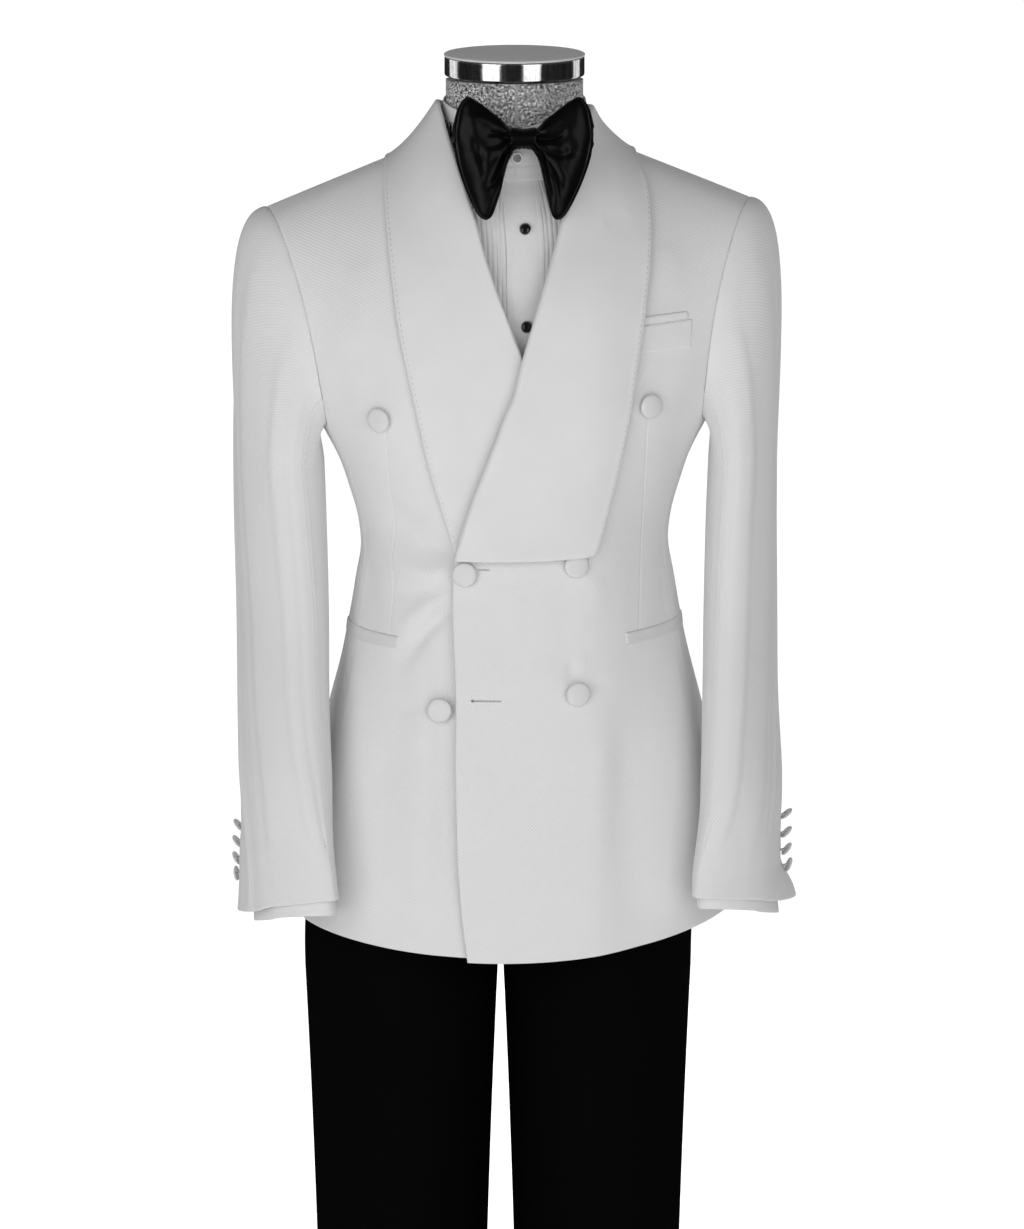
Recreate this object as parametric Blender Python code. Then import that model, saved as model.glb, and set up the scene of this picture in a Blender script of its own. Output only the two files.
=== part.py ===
"""A double-breasted dinner suit worn by a limbless dress form.

The set is a shawl-lapelled jacket, flat-front trousers, a pleated dress shirt and a bow tie.
Metres, +Z up. The front looks along -Y, and the wearer's left is +X.
The origin is on the floor, under the stand of the dress form.
"""

import math
from bisect import bisect_right
from collections import namedtuple

import bmesh
import bpy
from mathutils import Vector

# ---------------------------------------------------------------- driving sizes
SEAM = 0.0004  # gap left between neighbouring pieces
JACKET_CLOTH = 0.0016  # wool with its canvas
LAPEL_CLOTH = 0.0018
TROUSER_CLOTH = 0.0012
SHIRT_CLOTH = 0.0010
BOW_CLOTH = 0.0020

ARMPIT_Z = 1.280
NECK_TOP_Z = 1.575  # where the two shoulder lines would meet
CHEST_FRONT = 0.1250
CHEST_BACK = 0.1060
HANG_TILT = 0.02  # the jacket hangs this much higher, per metre, on its left
HANG_SHIFT = -0.0060  # and its shoulders sit this far to its right
BODY_POWER = 2.3  # superellipse power of the jacket's rings
SIDE_SEAM_FRONT = 0.80  # shares of the quarter ring from the centre to the side
SIDE_SEAM_BACK = 0.80
OVERLAP_LIFT = 0.0062  # how far the over-front stands off the under-front

LEFT, RIGHT = 1, -1
HEM_CENTRE = {LEFT: 0.7728, RIGHT: 0.7765}
HEM_RISE = {LEFT: 0.0310, RIGHT: 0.0262}
HEM_BACK = 0.7900

NECK_R = 0.0655
COLLAR_R = 0.0669  # inside of the shirt collar
LEG_AXIS_X = -0.0148  # the trousers hang a little to the right
LEG_OFFSET = 0.0952
LEG_WIDTH = {LEFT: 0.986, RIGHT: 1.014}  # the right leg's cloth stands fuller
CROTCH_Z = 0.800
FLY_TOP_Z = 0.870
TROUSER_TOP_Z = 1.0560
WAISTBAND_TOP_Z = 1.0920
TROUSER_HEM_Z = 0.0460
STAND_RADIUS = 0.2100
STAND_THICKNESS = 0.0100
ROD_RADIUS = 0.0125

# ---------------------------------------------------------------- section tables
Ring = namedtuple("Ring", "z half_width front back")
JACKET = [
    Ring(0.7600, 0.2130, 0.139, 0.128),
    Ring(0.8000, 0.2110, 0.138, 0.129),
    Ring(0.8600, 0.2050, 0.136, 0.128),
    Ring(0.9200, 0.1950, 0.133, 0.124),
    Ring(0.9700, 0.1840, 0.130, 0.117),
    Ring(1.0120, 0.1735, 0.127, 0.109),
    Ring(1.0410, 0.1672, 0.125, 0.103),
    Ring(1.0700, 0.1616, 0.122, 0.098),
    Ring(1.0990, 0.1560, 0.120, 0.094),
    Ring(1.1280, 0.1508, 0.118, 0.091),
    Ring(1.1580, 0.1472, 0.117, 0.089),
    Ring(1.1870, 0.1494, 0.118, 0.090),
    Ring(1.2160, 0.1574, 0.120, 0.094),
    Ring(1.2450, 0.1674, 0.123, 0.099),
    Ring(1.2800, 0.1855, 0.125, 0.106),
]

# share is 0 at the armpit and 1 at the shoulder's tip.
Armhole = namedtuple("Armhole", "share x front back z")
ARMHOLE = [
    Armhole(0.00, 0.1776, 0.0447, 0.0379, 1.280),
    Armhole(0.20, 0.1810, 0.0620, 0.0540, 1.312),
    Armhole(0.40, 0.1870, 0.0690, 0.0640, 1.354),
    Armhole(0.60, 0.1960, 0.0650, 0.0640, 1.400),
    Armhole(0.80, 0.2095, 0.0480, 0.0500, 1.447),
    Armhole(0.92, 0.2205, 0.0260, 0.0280, 1.474),
    Armhole(1.00, 0.2290, 0.0000, 0.0000, 1.485),
]
SHOULDER_X = ARMHOLE[-1].x

# Roll lines and outer edges of the lapels: x is across, towards the piece's own side.
Edge = namedtuple("Edge", "z x")
ROLL = {
    LEFT: [
        Edge(1.157, -0.0546), Edge(1.211, -0.0400), Edge(1.254, -0.0248), Edge(1.305, -0.0075),
        Edge(1.352, 0.0070), Edge(1.407, 0.0236), Edge(1.446, 0.0350), Edge(1.487, 0.0470),
        Edge(1.512, 0.0560), Edge(1.533, 0.0655), Edge(1.547, 0.0735),
    ],
    RIGHT: [
        Edge(1.157, -0.0580), Edge(1.200, -0.0575), Edge(1.280, -0.0320), Edge(1.361, -0.0045),
        Edge(1.402, 0.0120), Edge(1.438, 0.0248), Edge(1.474, 0.0357), Edge(1.497, 0.0455),
        Edge(1.512, 0.0530), Edge(1.533, 0.0650), Edge(1.547, 0.0735),
    ],
}
LAPEL_EDGE = {
    LEFT: [
        Edge(1.157, 0.0690), Edge(1.175, 0.0755), Edge(1.210, 0.0858), Edge(1.247, 0.0955),
        Edge(1.290, 0.1055), Edge(1.333, 0.1125), Edge(1.376, 0.1192), Edge(1.413, 0.1238),
        Edge(1.451, 0.1270), Edge(1.479, 0.1270), Edge(1.503, 0.1245), Edge(1.531, 0.1140),
    ],
    RIGHT: [
        Edge(1.157, 0.0530), Edge(1.171, 0.0575), Edge(1.210, 0.0690), Edge(1.250, 0.0805),
        Edge(1.300, 0.0917), Edge(1.333, 0.0990), Edge(1.370, 0.1070), Edge(1.414, 0.1130),
        Edge(1.456, 0.1180), Edge(1.487, 0.1210), Edge(1.510, 0.1225), Edge(1.531, 0.1225),
    ],
}
FRONT_EDGE = {
    LEFT: [
        Edge(0.760, -0.0420), Edge(0.775, -0.0440), Edge(0.812, -0.0486), Edge(0.863, -0.0525),
        Edge(0.965, -0.0546), Edge(1.022, -0.0540), Edge(1.100, -0.0565), Edge(1.157, -0.0560),
    ],
    RIGHT: [Edge(0.760, -0.0560), Edge(1.157, -0.0580)],
}

# x and y are the sleeve's middle, long and short its half sizes, turn how far its long way looks back.
Arm = namedtuple("Arm", "z x y long short turn")
SLEEVE = {
    RIGHT: [
        Arm(0.790, 0.2178, -0.0965, 0.0635, 0.0335, 46),
        Arm(0.830, 0.2180, -0.0940, 0.0640, 0.0340, 49),
        Arm(0.870, 0.2181, -0.0900, 0.0650, 0.0345, 53),
        Arm(0.925, 0.2192, -0.0790, 0.0660, 0.0370, 60),
        Arm(1.010, 0.2210, -0.0530, 0.0665, 0.0395, 68),
        Arm(1.100, 0.2222, -0.0240, 0.0690, 0.0410, 72),
        Arm(1.187, 0.2247, -0.0080, 0.0720, 0.0425, 77),
        Arm(1.235, 0.2261, -0.0020, 0.0735, 0.0427, 80),
    ],
    LEFT: [
        Arm(0.790, 0.2240, -0.0990, 0.0675, 0.0345, 42),
        Arm(0.830, 0.2212, -0.0960, 0.0645, 0.0330, 47),
        Arm(0.870, 0.2150, -0.0920, 0.0625, 0.0325, 58),
        Arm(0.925, 0.2162, -0.0800, 0.0650, 0.0335, 68),
        Arm(1.010, 0.2171, -0.0530, 0.0680, 0.0342, 74),
        Arm(1.100, 0.2180, -0.0230, 0.0715, 0.0345, 78),
        Arm(1.187, 0.2190, -0.0070, 0.0750, 0.0340, 81),
        Arm(1.235, 0.2199, -0.0020, 0.0765, 0.0334, 83),
    ],
}
SLEEVE_HEM_MIDDLE = {LEFT: 0.8285, RIGHT: 0.8195}
SLEEVE_HEM_SLANT = {LEFT: 0.0085, RIGHT: 0.0150}  # the back seam's end hangs lower

FORM = [
    Ring(0.8900, 0.1380, 0.100, 0.102),
    Ring(0.9000, 0.1480, 0.107, 0.107),
    Ring(0.9300, 0.1560, 0.111, 0.109),
    Ring(0.9800, 0.1550, 0.111, 0.103),
    Ring(1.0600, 0.1430, 0.107, 0.088),
    Ring(1.1500, 0.1310, 0.101, 0.076),
    Ring(1.2200, 0.1440, 0.105, 0.083),
    Ring(1.2800, 0.1600, 0.110, 0.093),
    Ring(1.3600, 0.1660, 0.104, 0.098),
    Ring(1.4200, 0.1660, 0.093, 0.095),
    Ring(1.4550, 0.1500, 0.084, 0.088),
    Ring(1.4800, 0.1230, 0.076, 0.081),
    Ring(1.4970, 0.0920, 0.069, 0.073),
    Ring(1.5060, 0.0740, 0.066, 0.068),
    Ring(1.5120, 0.0665, NECK_R, NECK_R),
    Ring(1.5300, NECK_R, NECK_R, NECK_R),
    Ring(1.6060, NECK_R, NECK_R, NECK_R),
]
BAND_HEIGHT = 0.0180
BAND_R = 0.0667
CAP_TILT = math.radians(2.5)  # the neck cap leans towards the front

HIPS = [
    Ring(0.8000, 0.1860, 0.112, 0.118),
    Ring(0.8600, 0.1830, 0.118, 0.1195),
    Ring(0.9200, 0.1780, 0.120, 0.1195),
    Ring(0.9800, 0.1690, 0.1195, 0.1135),
    Ring(1.0200, 0.1605, 0.1180, 0.1050),
    Ring(1.0600, 0.1530, 0.1165, 0.0965),
    Ring(1.1000, 0.1465, 0.1145, 0.0905),
]
Leg = namedtuple("Leg", "z half_width front back")
LEG = [
    Leg(0.0400, 0.0735, 0.0930, 0.0930),
    Leg(0.2000, 0.0760, 0.0900, 0.0900),
    Leg(0.3500, 0.0795, 0.0870, 0.0880),
    Leg(0.4850, 0.0830, 0.0860, 0.0890),
    Leg(0.6120, 0.0873, 0.0890, 0.0940),
    Leg(0.7090, 0.0913, 0.0940, 0.1010),
    Leg(0.7450, 0.0929, 0.0960, 0.1040),
    Leg(0.8000, 0.0934, 0.1000, 0.1080),
]
LEG_POWER = 1.75  # below 2, so that the crease is a soft ridge


# ---------------------------------------------------------------- small helpers
def mix(a, b, share):
    return a + (b - a) * share


def ease(low, high, value):
    """0 below low, 1 above high, smooth between."""
    share = min(1.0, max(0.0, (value - low) / (high - low)))
    return share * share * (3 - 2 * share)


def column(rows, name, at):
    """The named column of a table at an ordinate, on a smooth curve through its rows."""
    keys = [row[0] for row in rows]
    at = min(max(at, keys[0]), keys[-1])
    k = min(max(bisect_right(keys, at) - 1, 0), len(rows) - 2)
    value = [getattr(row, name) for row in rows]
    span = keys[k + 1] - keys[k]
    chord = (value[k + 1] - value[k]) / span

    def slope(i):
        if i in (0, len(rows) - 1):
            return chord
        return (value[i + 1] - value[i - 1]) / (keys[i + 1] - keys[i - 1])

    t = (at - keys[k]) / span
    return (
        value[k] * (2 * t**3 - 3 * t**2 + 1)
        + value[k + 1] * (3 * t**2 - 2 * t**3)
        + span * (slope(k) * (t**3 - 2 * t**2 + t) + slope(k + 1) * (t**3 - t**2))
    )


def steps(low, high, count):
    """count evenly spaced values from low to high."""
    return [low + (high - low) * i / (count - 1) for i in range(count)]


def normal(surface, u, v, core, step=0.002):
    """The surface's normal at (u, v), on the side away from the core point."""
    across = surface(u + step, v) - surface(u - step, v)
    along = surface(u, v + step) - surface(u, v - step)
    found = across.cross(along).normalized()
    return found if found.dot(surface(u, v) - core) > 0 else -found


def material(name, colour, roughness=0.8, metallic=0.0):
    made = bpy.data.materials.new(name)
    made.use_nodes = True
    shader = made.node_tree.nodes["Principled BSDF"]
    shader.inputs["Base Color"].default_value = (*colour, 1.0)
    shader.inputs["Roughness"].default_value = roughness
    shader.inputs["Metallic"].default_value = metallic
    return made


def seal(build):
    """A mesh from the built faces, all facing out."""
    bmesh.ops.recalc_face_normals(build, faces=build.faces)
    if build.calc_volume(signed=True) < 0:
        bmesh.ops.reverse_faces(build, faces=build.faces)
    mesh = bpy.data.meshes.new("solid")
    build.to_mesh(mesh)
    build.free()
    return mesh


def add_object(name, mesh, finish):
    mesh.name = name
    for polygon in mesh.polygons:
        polygon.use_smooth = True
    mesh.set_sharp_from_angle(angle=math.radians(45))
    mesh.materials.append(finish)
    made = bpy.data.objects.new(name, mesh)
    bpy.context.scene.collection.objects.link(made)
    return made


def wall(name, outer, inner, finish, closed=False):
    """A thin closed wall between two grids of points. closed joins each row into a ring."""
    rows, cols = len(outer), len(outer[0])
    build = bmesh.new()
    skins = [[[build.verts.new(p) for p in row] for row in grid] for grid in (outer, inner)]
    last = cols if closed else cols - 1
    for j in range(rows - 1):
        for i in range(last):
            k = (i + 1) % cols
            corners = [(j, i), (j, k), (j + 1, k), (j + 1, i)]
            spans = [(outer[a[0]][a[1]] - outer[b[0]][b[1]]).length for a, b in zip(corners, corners[2:])]
            if spans[0] > spans[1]:  # both skins fold along the shorter diagonal
                corners = corners[1:] + corners[:1]
            for skin, turned in zip(skins, (False, True)):
                face = [skin[a][b] for a, b in corners]
                for three in (face[:3], [face[0], face[2], face[3]]):
                    build.faces.new(three[::-1] if turned else three)
    rims = []
    for j in (0, rows - 1):
        rims.append([(j, i) for i in range(cols)] + ([(j, 0)] if closed else []))
    if not closed:
        for i in (0, cols - 1):
            rims.append([(j, i) for j in range(rows)])
    for rim in rims:
        for (j0, i0), (j1, i1) in zip(rim, rim[1:]):
            build.faces.new([skins[0][j0][i0], skins[0][j1][i1], skins[1][j1][i1], skins[1][j0][i0]])
    return add_object(name, seal(build), finish)


def turned(name, profile, finish, place, axis=Vector((0, 0, 1)), sides=20):
    """A solid of revolution from (radius, height) points, set at place along axis."""
    build = bmesh.new()
    rings = []
    for radius, height in profile:
        if radius == 0:
            rings.append([build.verts.new((0, 0, height))])
            continue
        angles = [2 * math.pi * i / sides for i in range(sides)]
        ring = [build.verts.new((radius * math.cos(a), radius * math.sin(a), height)) for a in angles]
        rings.append(ring)
    for low, high in zip(rings, rings[1:]):
        for i in range(sides):
            k = (i + 1) % sides
            face = [low[i % len(low)], low[k % len(low)], high[k % len(high)], high[i % len(high)]]
            build.faces.new(list(dict.fromkeys(face)))
    for end in (rings[0], rings[-1]):
        if len(end) > 2:
            build.faces.new(end)
    turn = Vector((0, 0, 1)).rotation_difference(axis).to_matrix()
    bmesh.ops.rotate(build, cent=(0, 0, 0), matrix=turn, verts=build.verts)
    bmesh.ops.translate(build, vec=place, verts=build.verts)
    return add_object(name, seal(build), finish)


# ---------------------------------------------------------------- the jacket's body
def hem_height(side, g):
    """Height of the jacket's hem. g runs 0 at the front centre, 1 at the side, 2 at the back."""
    centre, rise = HEM_CENTRE[side], HEM_RISE[side]
    width = quarter(min(abs(g), 2 - abs(g)))[0]
    if abs(g) <= 1:
        return centre + rise * width**2
    return HEM_BACK + (centre + rise - HEM_BACK) * width**2


def quarter(g, power=BODY_POWER):
    """Shares of the width and the depth at g of a quarter ring, from its centre to its side."""
    angle = abs(g) * math.pi / 2
    return math.sin(angle) ** (2 / power), max(0.0, math.cos(angle)) ** (2 / power)


def jacket(g, v, hem_side=None):
    """The jacket's inner skin. v is 0 at the hem, 1 at the armpit and 2 at the shoulder seam.

    |g| is 0 at the centre front, 1 at the side and 2 at the centre back; its sign is the side.
    """
    side = LEFT if g >= 0 else RIGHT
    turn = abs(g)
    behind = turn > 1
    wide, deep = quarter(2 - turn if behind else turn)
    if v <= 1:
        hem = hem_height(hem_side or side, turn)
        z = mix(hem, ARMPIT_Z, v)
        x = side * wide * column(JACKET, "half_width", z)
        depth = column(JACKET, "back" if behind else "front", z)
        y = deep * (depth if behind else -depth)
    else:
        x, y, z = yoke(side, behind, wide, min(v, 2.0) - 1)
    return Vector((x, y, z + HANG_TILT * x))


def yoke(side, behind, wide, share):
    """A point between the armpit and the shoulder seam; wide is its share of the ring's width."""
    name, seam_g = ("back", SIDE_SEAM_BACK) if behind else ("front", SIDE_SEAM_FRONT)
    reach = quarter(seam_g)[0]  # the share of the width at the side seam
    q = min(1.0, wide / reach)
    face = 1 if behind else -1
    edge_y = face * column(ARMHOLE, name, share)
    edge_z = column(ARMHOLE, "z", share)
    power = 3.4 if behind else 2.1
    angle = math.pi / 2 * share**1.15
    chest = CHEST_BACK if behind else CHEST_FRONT
    centre_y = mix(face * chest, 0.004, 1 - max(0.0, math.cos(angle)) ** (2 / power))
    centre_z = mix(ARMPIT_Z, NECK_TOP_Z, math.sin(angle) ** (2 / power))
    flatter = mix(reach, 0.78, ease(0, 1, share))
    bend = [(1 - (flatter * k) ** BODY_POWER) ** (1 / BODY_POWER) for k in (q, 1)]
    y = mix(edge_y, centre_y, (bend[0] - bend[1]) / (1 - bend[1]))
    z = mix(centre_z, edge_z, q ** (2 - share))
    return q * (side * column(ARMHOLE, "x", share) + HANG_SHIFT * share), y, z


def jacket_core(v):
    """A point well inside the jacket at v, which tells outside from inside."""
    return Vector((0, 0, mix(0.78, 1.28, v) if v <= 1 else mix(1.28, 1.40, v - 1)))


def g_at_x(x, v, side):
    """The front's g where its x is as given, at v. x is negative past the centre."""
    low, high = -SIDE_SEAM_FRONT, SIDE_SEAM_FRONT if v > 1 else 1.0
    for _ in range(30):
        g = (low + high) / 2
        if side * jacket(side * g, v, side).x < x:
            low = g
        else:
            high = g
    return (low + high) / 2


def g_on_edge(edge, v, side):
    """The front's g where the row at v crosses an edge given as x by height."""
    low, high = -SIDE_SEAM_FRONT, SIDE_SEAM_FRONT
    for _ in range(30):
        g = (low + high) / 2
        point = jacket(side * g, v, side)
        if side * point.x < column(edge, "x", point.z):
            low = g
        else:
            high = g
    return (low + high) / 2


def front_lift(side, point):
    """How far the over-front stands off the under-front, at a point of its skin."""
    if side == RIGHT:
        return 0.0
    return OVERLAP_LIFT * (1 - ease(0.068, 0.125, point.x)) * (1 - ease(1.385, 1.470, point.z))


def front_skin(side, lift):
    """A skin over one front, moved out by lift, as a function of g (towards its side) and v."""

    def skin(g, v):
        base = jacket(side * g, v, side)
        out = normal(lambda a, b: jacket(side * a, b, side), g, v, jacket_core(v))
        return base + out * (front_lift(side, base) + lift)

    return skin


def seam_step(surface, u, v, direction, gap=SEAM / 2):
    """How far to move u for the given gap along the surface."""
    step = 0.002
    speed = (surface(u + direction * step, v) - surface(u, v)).length / step
    return direction * gap / max(speed, 1e-6)


PANEL_ROWS = [0, 0.14, 0.28, 0.42, 0.54, 0.65, 0.74, 0.83, 0.915, 1.0]


def panel_rows(yoke_too=True):
    """v at each row of a panel; the yoke's rows meet the sleeve's columns."""
    return PANEL_ROWS + (steps(1, 2, 7)[1:] if yoke_too else [])


def build_front(side, finish):
    """One front, from its edge or roll line to the side seam and the armhole."""
    inner, outer = [], []
    low_skin, high_skin = front_skin(side, 0), front_skin(side, JACKET_CLOTH)
    break_z = ROLL[side][0].z if side == LEFT else ROLL[side][1].z
    edge = [e for e in FRONT_EDGE[side] if e.z < break_z] + [e for e in ROLL[side] if e.z >= break_z]
    for v in panel_rows():
        start = g_on_edge(edge, v, side)
        v_cut = v - (0.0012 if v == 2.0 else 0)
        end = SIDE_SEAM_FRONT
        end += seam_step(low_skin, end, v_cut, -1)
        row = [mix(start, end, s**0.9) for s in steps(0, 1, 9)]
        inner.append([low_skin(g, v_cut) for g in row])
        outer.append([high_skin(g, v_cut) for g in row])
    wall("front_left" if side == LEFT else "front_right", outer, inner, finish)


def ring_skin(side, lift, top=2.0):
    """The jacket's skin right round one side up to v = top, moved out by lift."""

    def skin(g, v):
        base = jacket(side * g, v)
        out = normal(lambda a, b: jacket(side * a, min(b, top)), g, v, jacket_core(v))
        return base + out * (lift + (front_lift(side, base) if g < 1 else 0))

    return skin


def build_side(side, finish):
    """The panel under the arm, between the front's and the back's seams."""
    skins = ring_skin(side, JACKET_CLOTH, top=1.0), ring_skin(side, 0, top=1.0)
    grids = [[], []]
    for v in panel_rows(yoke_too=False):
        start = SIDE_SEAM_FRONT + seam_step(skins[1], SIDE_SEAM_FRONT, v, 1)
        end = 2 - SIDE_SEAM_BACK
        end += seam_step(skins[1], end, v, -1)
        for grid, skin in zip(grids, skins):
            grid.append([skin(g, v) for g in steps(start, end, 5)])
    wall("side_left" if side == LEFT else "side_right", *grids, finish)


def neckline_v(x):
    """v at the top of the back at x: the neckline inside the neck point, the shoulder outside."""
    neck_x, centre_v = 0.0735, 1.640
    if abs(x) >= neck_x:
        return 2.0
    return mix(2.0, centre_v, math.sqrt(1 - (abs(x) / neck_x) ** 2))


def build_back(side, finish):
    """Half of the back, from the centre seam to the side seam and the armhole."""
    skins = ring_skin(side, JACKET_CLOTH), ring_skin(side, 0)
    grids = [[], []]
    for v_row in panel_rows():
        start = 2 - SIDE_SEAM_BACK + seam_step(skins[1], 2 - SIDE_SEAM_BACK, min(v_row, 1.999), 1)
        end = 2 - 0.0008
        row = steps(start, end, 7)
        for grid, skin in zip(grids, skins):
            points = []
            for g in row:
                v = v_row
                if v_row > 1:
                    top = neckline_v(quarter(2 - g)[0] / quarter(SIDE_SEAM_BACK)[0] * SHOULDER_X) - 0.0012
                    v = 1 + (v_row - 1) * (top - 1)
                points.append(skin(g, v))
            grid.append(points)
    wall("back_left" if side == LEFT else "back_right", *grids, finish)


# ---------------------------------------------------------------- lapels and collar
LAPEL_BOTTOM_Z = 1.1575
CREST = {  # the collar's fold at the side of the neck
    LEFT: Vector((0.0722, -0.002, 1.5785)),
    RIGHT: Vector((-0.0722, -0.002, 1.5840)),
}
CREST_CURVE = 1.9  # how quickly the collar falls away from its fold
CREST_BACK = Vector((0, 0.0785, 1.5740))
COLLAR_CENTRE_V = 1.580  # where the collar's outer edge crosses the centre of the back
LAPEL_LIFT = {LEFT: 0.0046, RIGHT: 0.0013}
ROLL_PUFF = {LEFT: 0.0040, RIGHT: 0.0}
SHOULDER_SHARE = 0.72  # the share of a lapel's length below the shoulder seam


def lapel_start_v(side):
    hem = hem_height(side, 0)
    return (LAPEL_BOTTOM_Z - hem) / (ARMPIT_Z - hem)


def lapel_over_front(side, v, share):
    """A point over the front, share across from the roll line, before it climbs the neck."""
    g_in = g_on_edge(ROLL[side], v, side)
    g_out = g_on_edge(LAPEL_EDGE[side], v, side)
    g = mix(g_in, g_out, share)
    base = jacket(side * g, v, side)
    out = normal(lambda a, b: jacket(side * a, b, side), g, min(v, 1.99), jacket_core(v))
    lift = LAPEL_LIFT[side] * mix(1, 0.3, ease(1.45, 2.0, v))
    if side == LEFT:  # the lower edge stands over a button
        lift += 0.0040 * (1 - ease(LAPEL_BOTTOM_Z, 1.225, base.z))
    else:
        lift += 0.0016 * ease(0.040, 0.075, -base.x) * (1 - ease(1.45, 2.0, v))
    lift += ROLL_PUFF[side] * math.exp(-((share / 0.16) ** 2)) * ease(1.157, 1.25, base.z)
    return base + out * (JACKET_CLOTH + front_lift(side, base) + lift)


def lapel_on_chest(side, v, share):
    """A point of the lapel below the shoulder seam; near the neck its roll climbs to the fold."""
    point = lapel_over_front(side, v, share)
    rise = ease(1.45, 2.0, v)
    if rise > 0:
        climb = CREST[side] - lapel_over_front(side, 2.0, 0.0)
        point += climb * rise * (1 - share) ** CREST_CURVE
    return point


def lapel_round_neck(side, turn, share):
    """A point of the collar behind the shoulder seam; turn is 0 there and 1 at the centre back."""
    angle = turn * math.pi / 2
    fold = Vector((
        CREST[side].x * math.cos(angle),
        mix(CREST[side].y, CREST_BACK.y, math.sin(angle)),
        mix(CREST[side].z, CREST_BACK.z, math.sin(angle)),
    ))
    edge_x = column(LAPEL_EDGE[side], "x", 1.6)
    wide = edge_x * math.cos(angle) / SHOULDER_X * quarter(SIDE_SEAM_BACK)[0]
    g = 2 - 2 / math.pi * math.asin(min(1.0, wide ** (BODY_POWER / 2)))
    v = mix(2.0, COLLAR_CENTRE_V, math.sin(angle) ** 1.5)
    base = jacket(side * g, v)
    out = normal(lambda a, b: jacket(side * a, b), g, min(v, 1.99), jacket_core(v))
    edge = base + out * (JACKET_CLOTH + 0.0018)
    point = edge.lerp(fold, 1 - share)
    curve = mix(CREST_CURVE, 1.25, math.sin(angle))
    point.z = mix(edge.z, fold.z, (1 - share) ** curve)
    return point


def lapel_skin(side):
    """The lapel and its half of the collar: length 0 at the lower edge, 1 at the centre back."""

    def skin(share, length):
        share = min(max(share, -0.02), 1.02)
        if length < SHOULDER_SHARE:
            v = mix(lapel_start_v(side), 2.0, max(0.0, length) / SHOULDER_SHARE)
            return lapel_on_chest(side, v, share)
        turn = min(1.0, (length - SHOULDER_SHARE) / (1 - SHOULDER_SHARE))
        joined = lapel_on_chest(side, 2.0, share)
        behind = lapel_round_neck(side, turn, share)
        start = lapel_round_neck(side, 0, share)
        return behind + (joined - start) * (1 - ease(0, 0.5, turn))

    return skin


def build_lapel(side, finish):
    skin = lapel_skin(side)
    outer, inner = [], []
    lengths = steps(0, SHOULDER_SHARE, 15) + steps(SHOULDER_SHARE, 1.0, 8)[1:]
    for length in lengths:
        length = min(length, 0.9985)
        v_core = mix(0.76, 2.0, length / SHOULDER_SHARE)
        core = jacket_core(min(v_core, 2.0))
        row_out, row_in = [], []
        for share in (0, 0.1, 0.25, 0.5, 0.75, 1.0):
            point = skin(share, length)
            out = normal(skin, min(max(share, 0.01), 0.99), min(length, 0.99), core, 0.004)
            row_in.append(point)
            row_out.append(point + out * LAPEL_CLOTH)
        outer.append(row_out)
        inner.append(row_in)
    wall("lapel_left" if side == LEFT else "lapel_right", outer, inner, finish)


def build_collar_stand(finish):
    """The under-collar: it stands round the neck inside the fold of the shawl."""
    outer, inner = [], []
    for turn in steps(-1, 1, 21):
        angle = turn * math.radians(96)
        low_z = mix(1.5495, 1.5450, abs(math.cos(angle)))
        fold_z = CREST[LEFT if angle > 0 else RIGHT].z
        high_z = mix(fold_z, CREST_BACK.z, abs(math.cos(angle))) - 0.0045
        across, back = CREST[LEFT].x - 0.0004, CREST_BACK.y - 0.0018
        rows = []
        for push in (0.0, -0.0012):
            low = Vector(((across + push) * math.sin(angle), (back + push) * math.cos(angle), low_z))
            high = Vector(((across + push) * math.sin(angle), (back + push) * math.cos(angle), high_z))
            rows.append([low, low.lerp(high, 0.5), high])
        outer.append(rows[0])
        inner.append(rows[1])
    wall("collar_stand", outer, inner, finish)


# ---------------------------------------------------------------- sleeves
ARMHOLE_CORNER = 132  # degrees from the top at which the underarm panel begins
ARMHOLE_STEP = ARMHOLE_CORNER / 6  # a body row meets the sleeve at each step


def armhole_point(side, angle):
    """The armhole at an angle from its top: 90 is the front, 180 the bottom, -90 the back."""
    turn = (angle + 180) % 360 - 180
    face = -1 if turn > 0 else 1
    name = "front" if turn > 0 else "back"
    if abs(turn) <= ARMHOLE_CORNER:
        share = 1 - abs(turn) / ARMHOLE_CORNER
        x, z = side * column(ARMHOLE, "x", share) + HANG_SHIFT * share, column(ARMHOLE, "z", share)
        y = face * column(ARMHOLE, name, share)
    else:
        along = (abs(turn) - ARMHOLE_CORNER) / (180 - ARMHOLE_CORNER)
        seam = SIDE_SEAM_FRONT if turn > 0 else SIDE_SEAM_BACK
        g = mix(seam, 1.0, along)
        point = jacket(g if turn > 0 else 2 - g, 1.0)
        x, y, z = side * point.x, point.y, ARMPIT_Z
    return Vector((x, y, z + HANG_TILT * x))


def armhole_lean(side, angle):
    """How far the body's skin faces sideways at the armhole, 0 to 1."""
    turn = abs((angle + 180) % 360 - 180)
    return mix(0.42, 1.0, ease(20, 150, turn))


def arm_ring(side, z, angle, inset=0.0):
    """A point of the sleeve's outer skin at height z; angle is measured from its back seam."""
    rows = SLEEVE[side]
    turn = math.radians(column(rows, "turn", z))
    a = math.radians(angle)
    long, short = column(rows, "long", z) - inset, column(rows, "short", z) - inset
    axis = Vector((math.cos(turn), math.sin(turn)))
    cross = Vector((math.sin(turn), -math.cos(turn)))
    point = axis * (long * math.cos(a)) + cross * (short * math.sin(a))
    x, y = column(rows, "x", z) + point.x, column(rows, "y", z) + point.y
    return Vector((side * x, y, z))


SLEEVE_TOP_Z = SLEEVE[LEFT][-1].z
BACK_SEAM = -88  # degrees round the armhole from its top, where the back seam starts
FRONT_SEAM = 110
CAP_SHARE = 0.36  # the share of a sleeve's rows that shape its head


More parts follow.
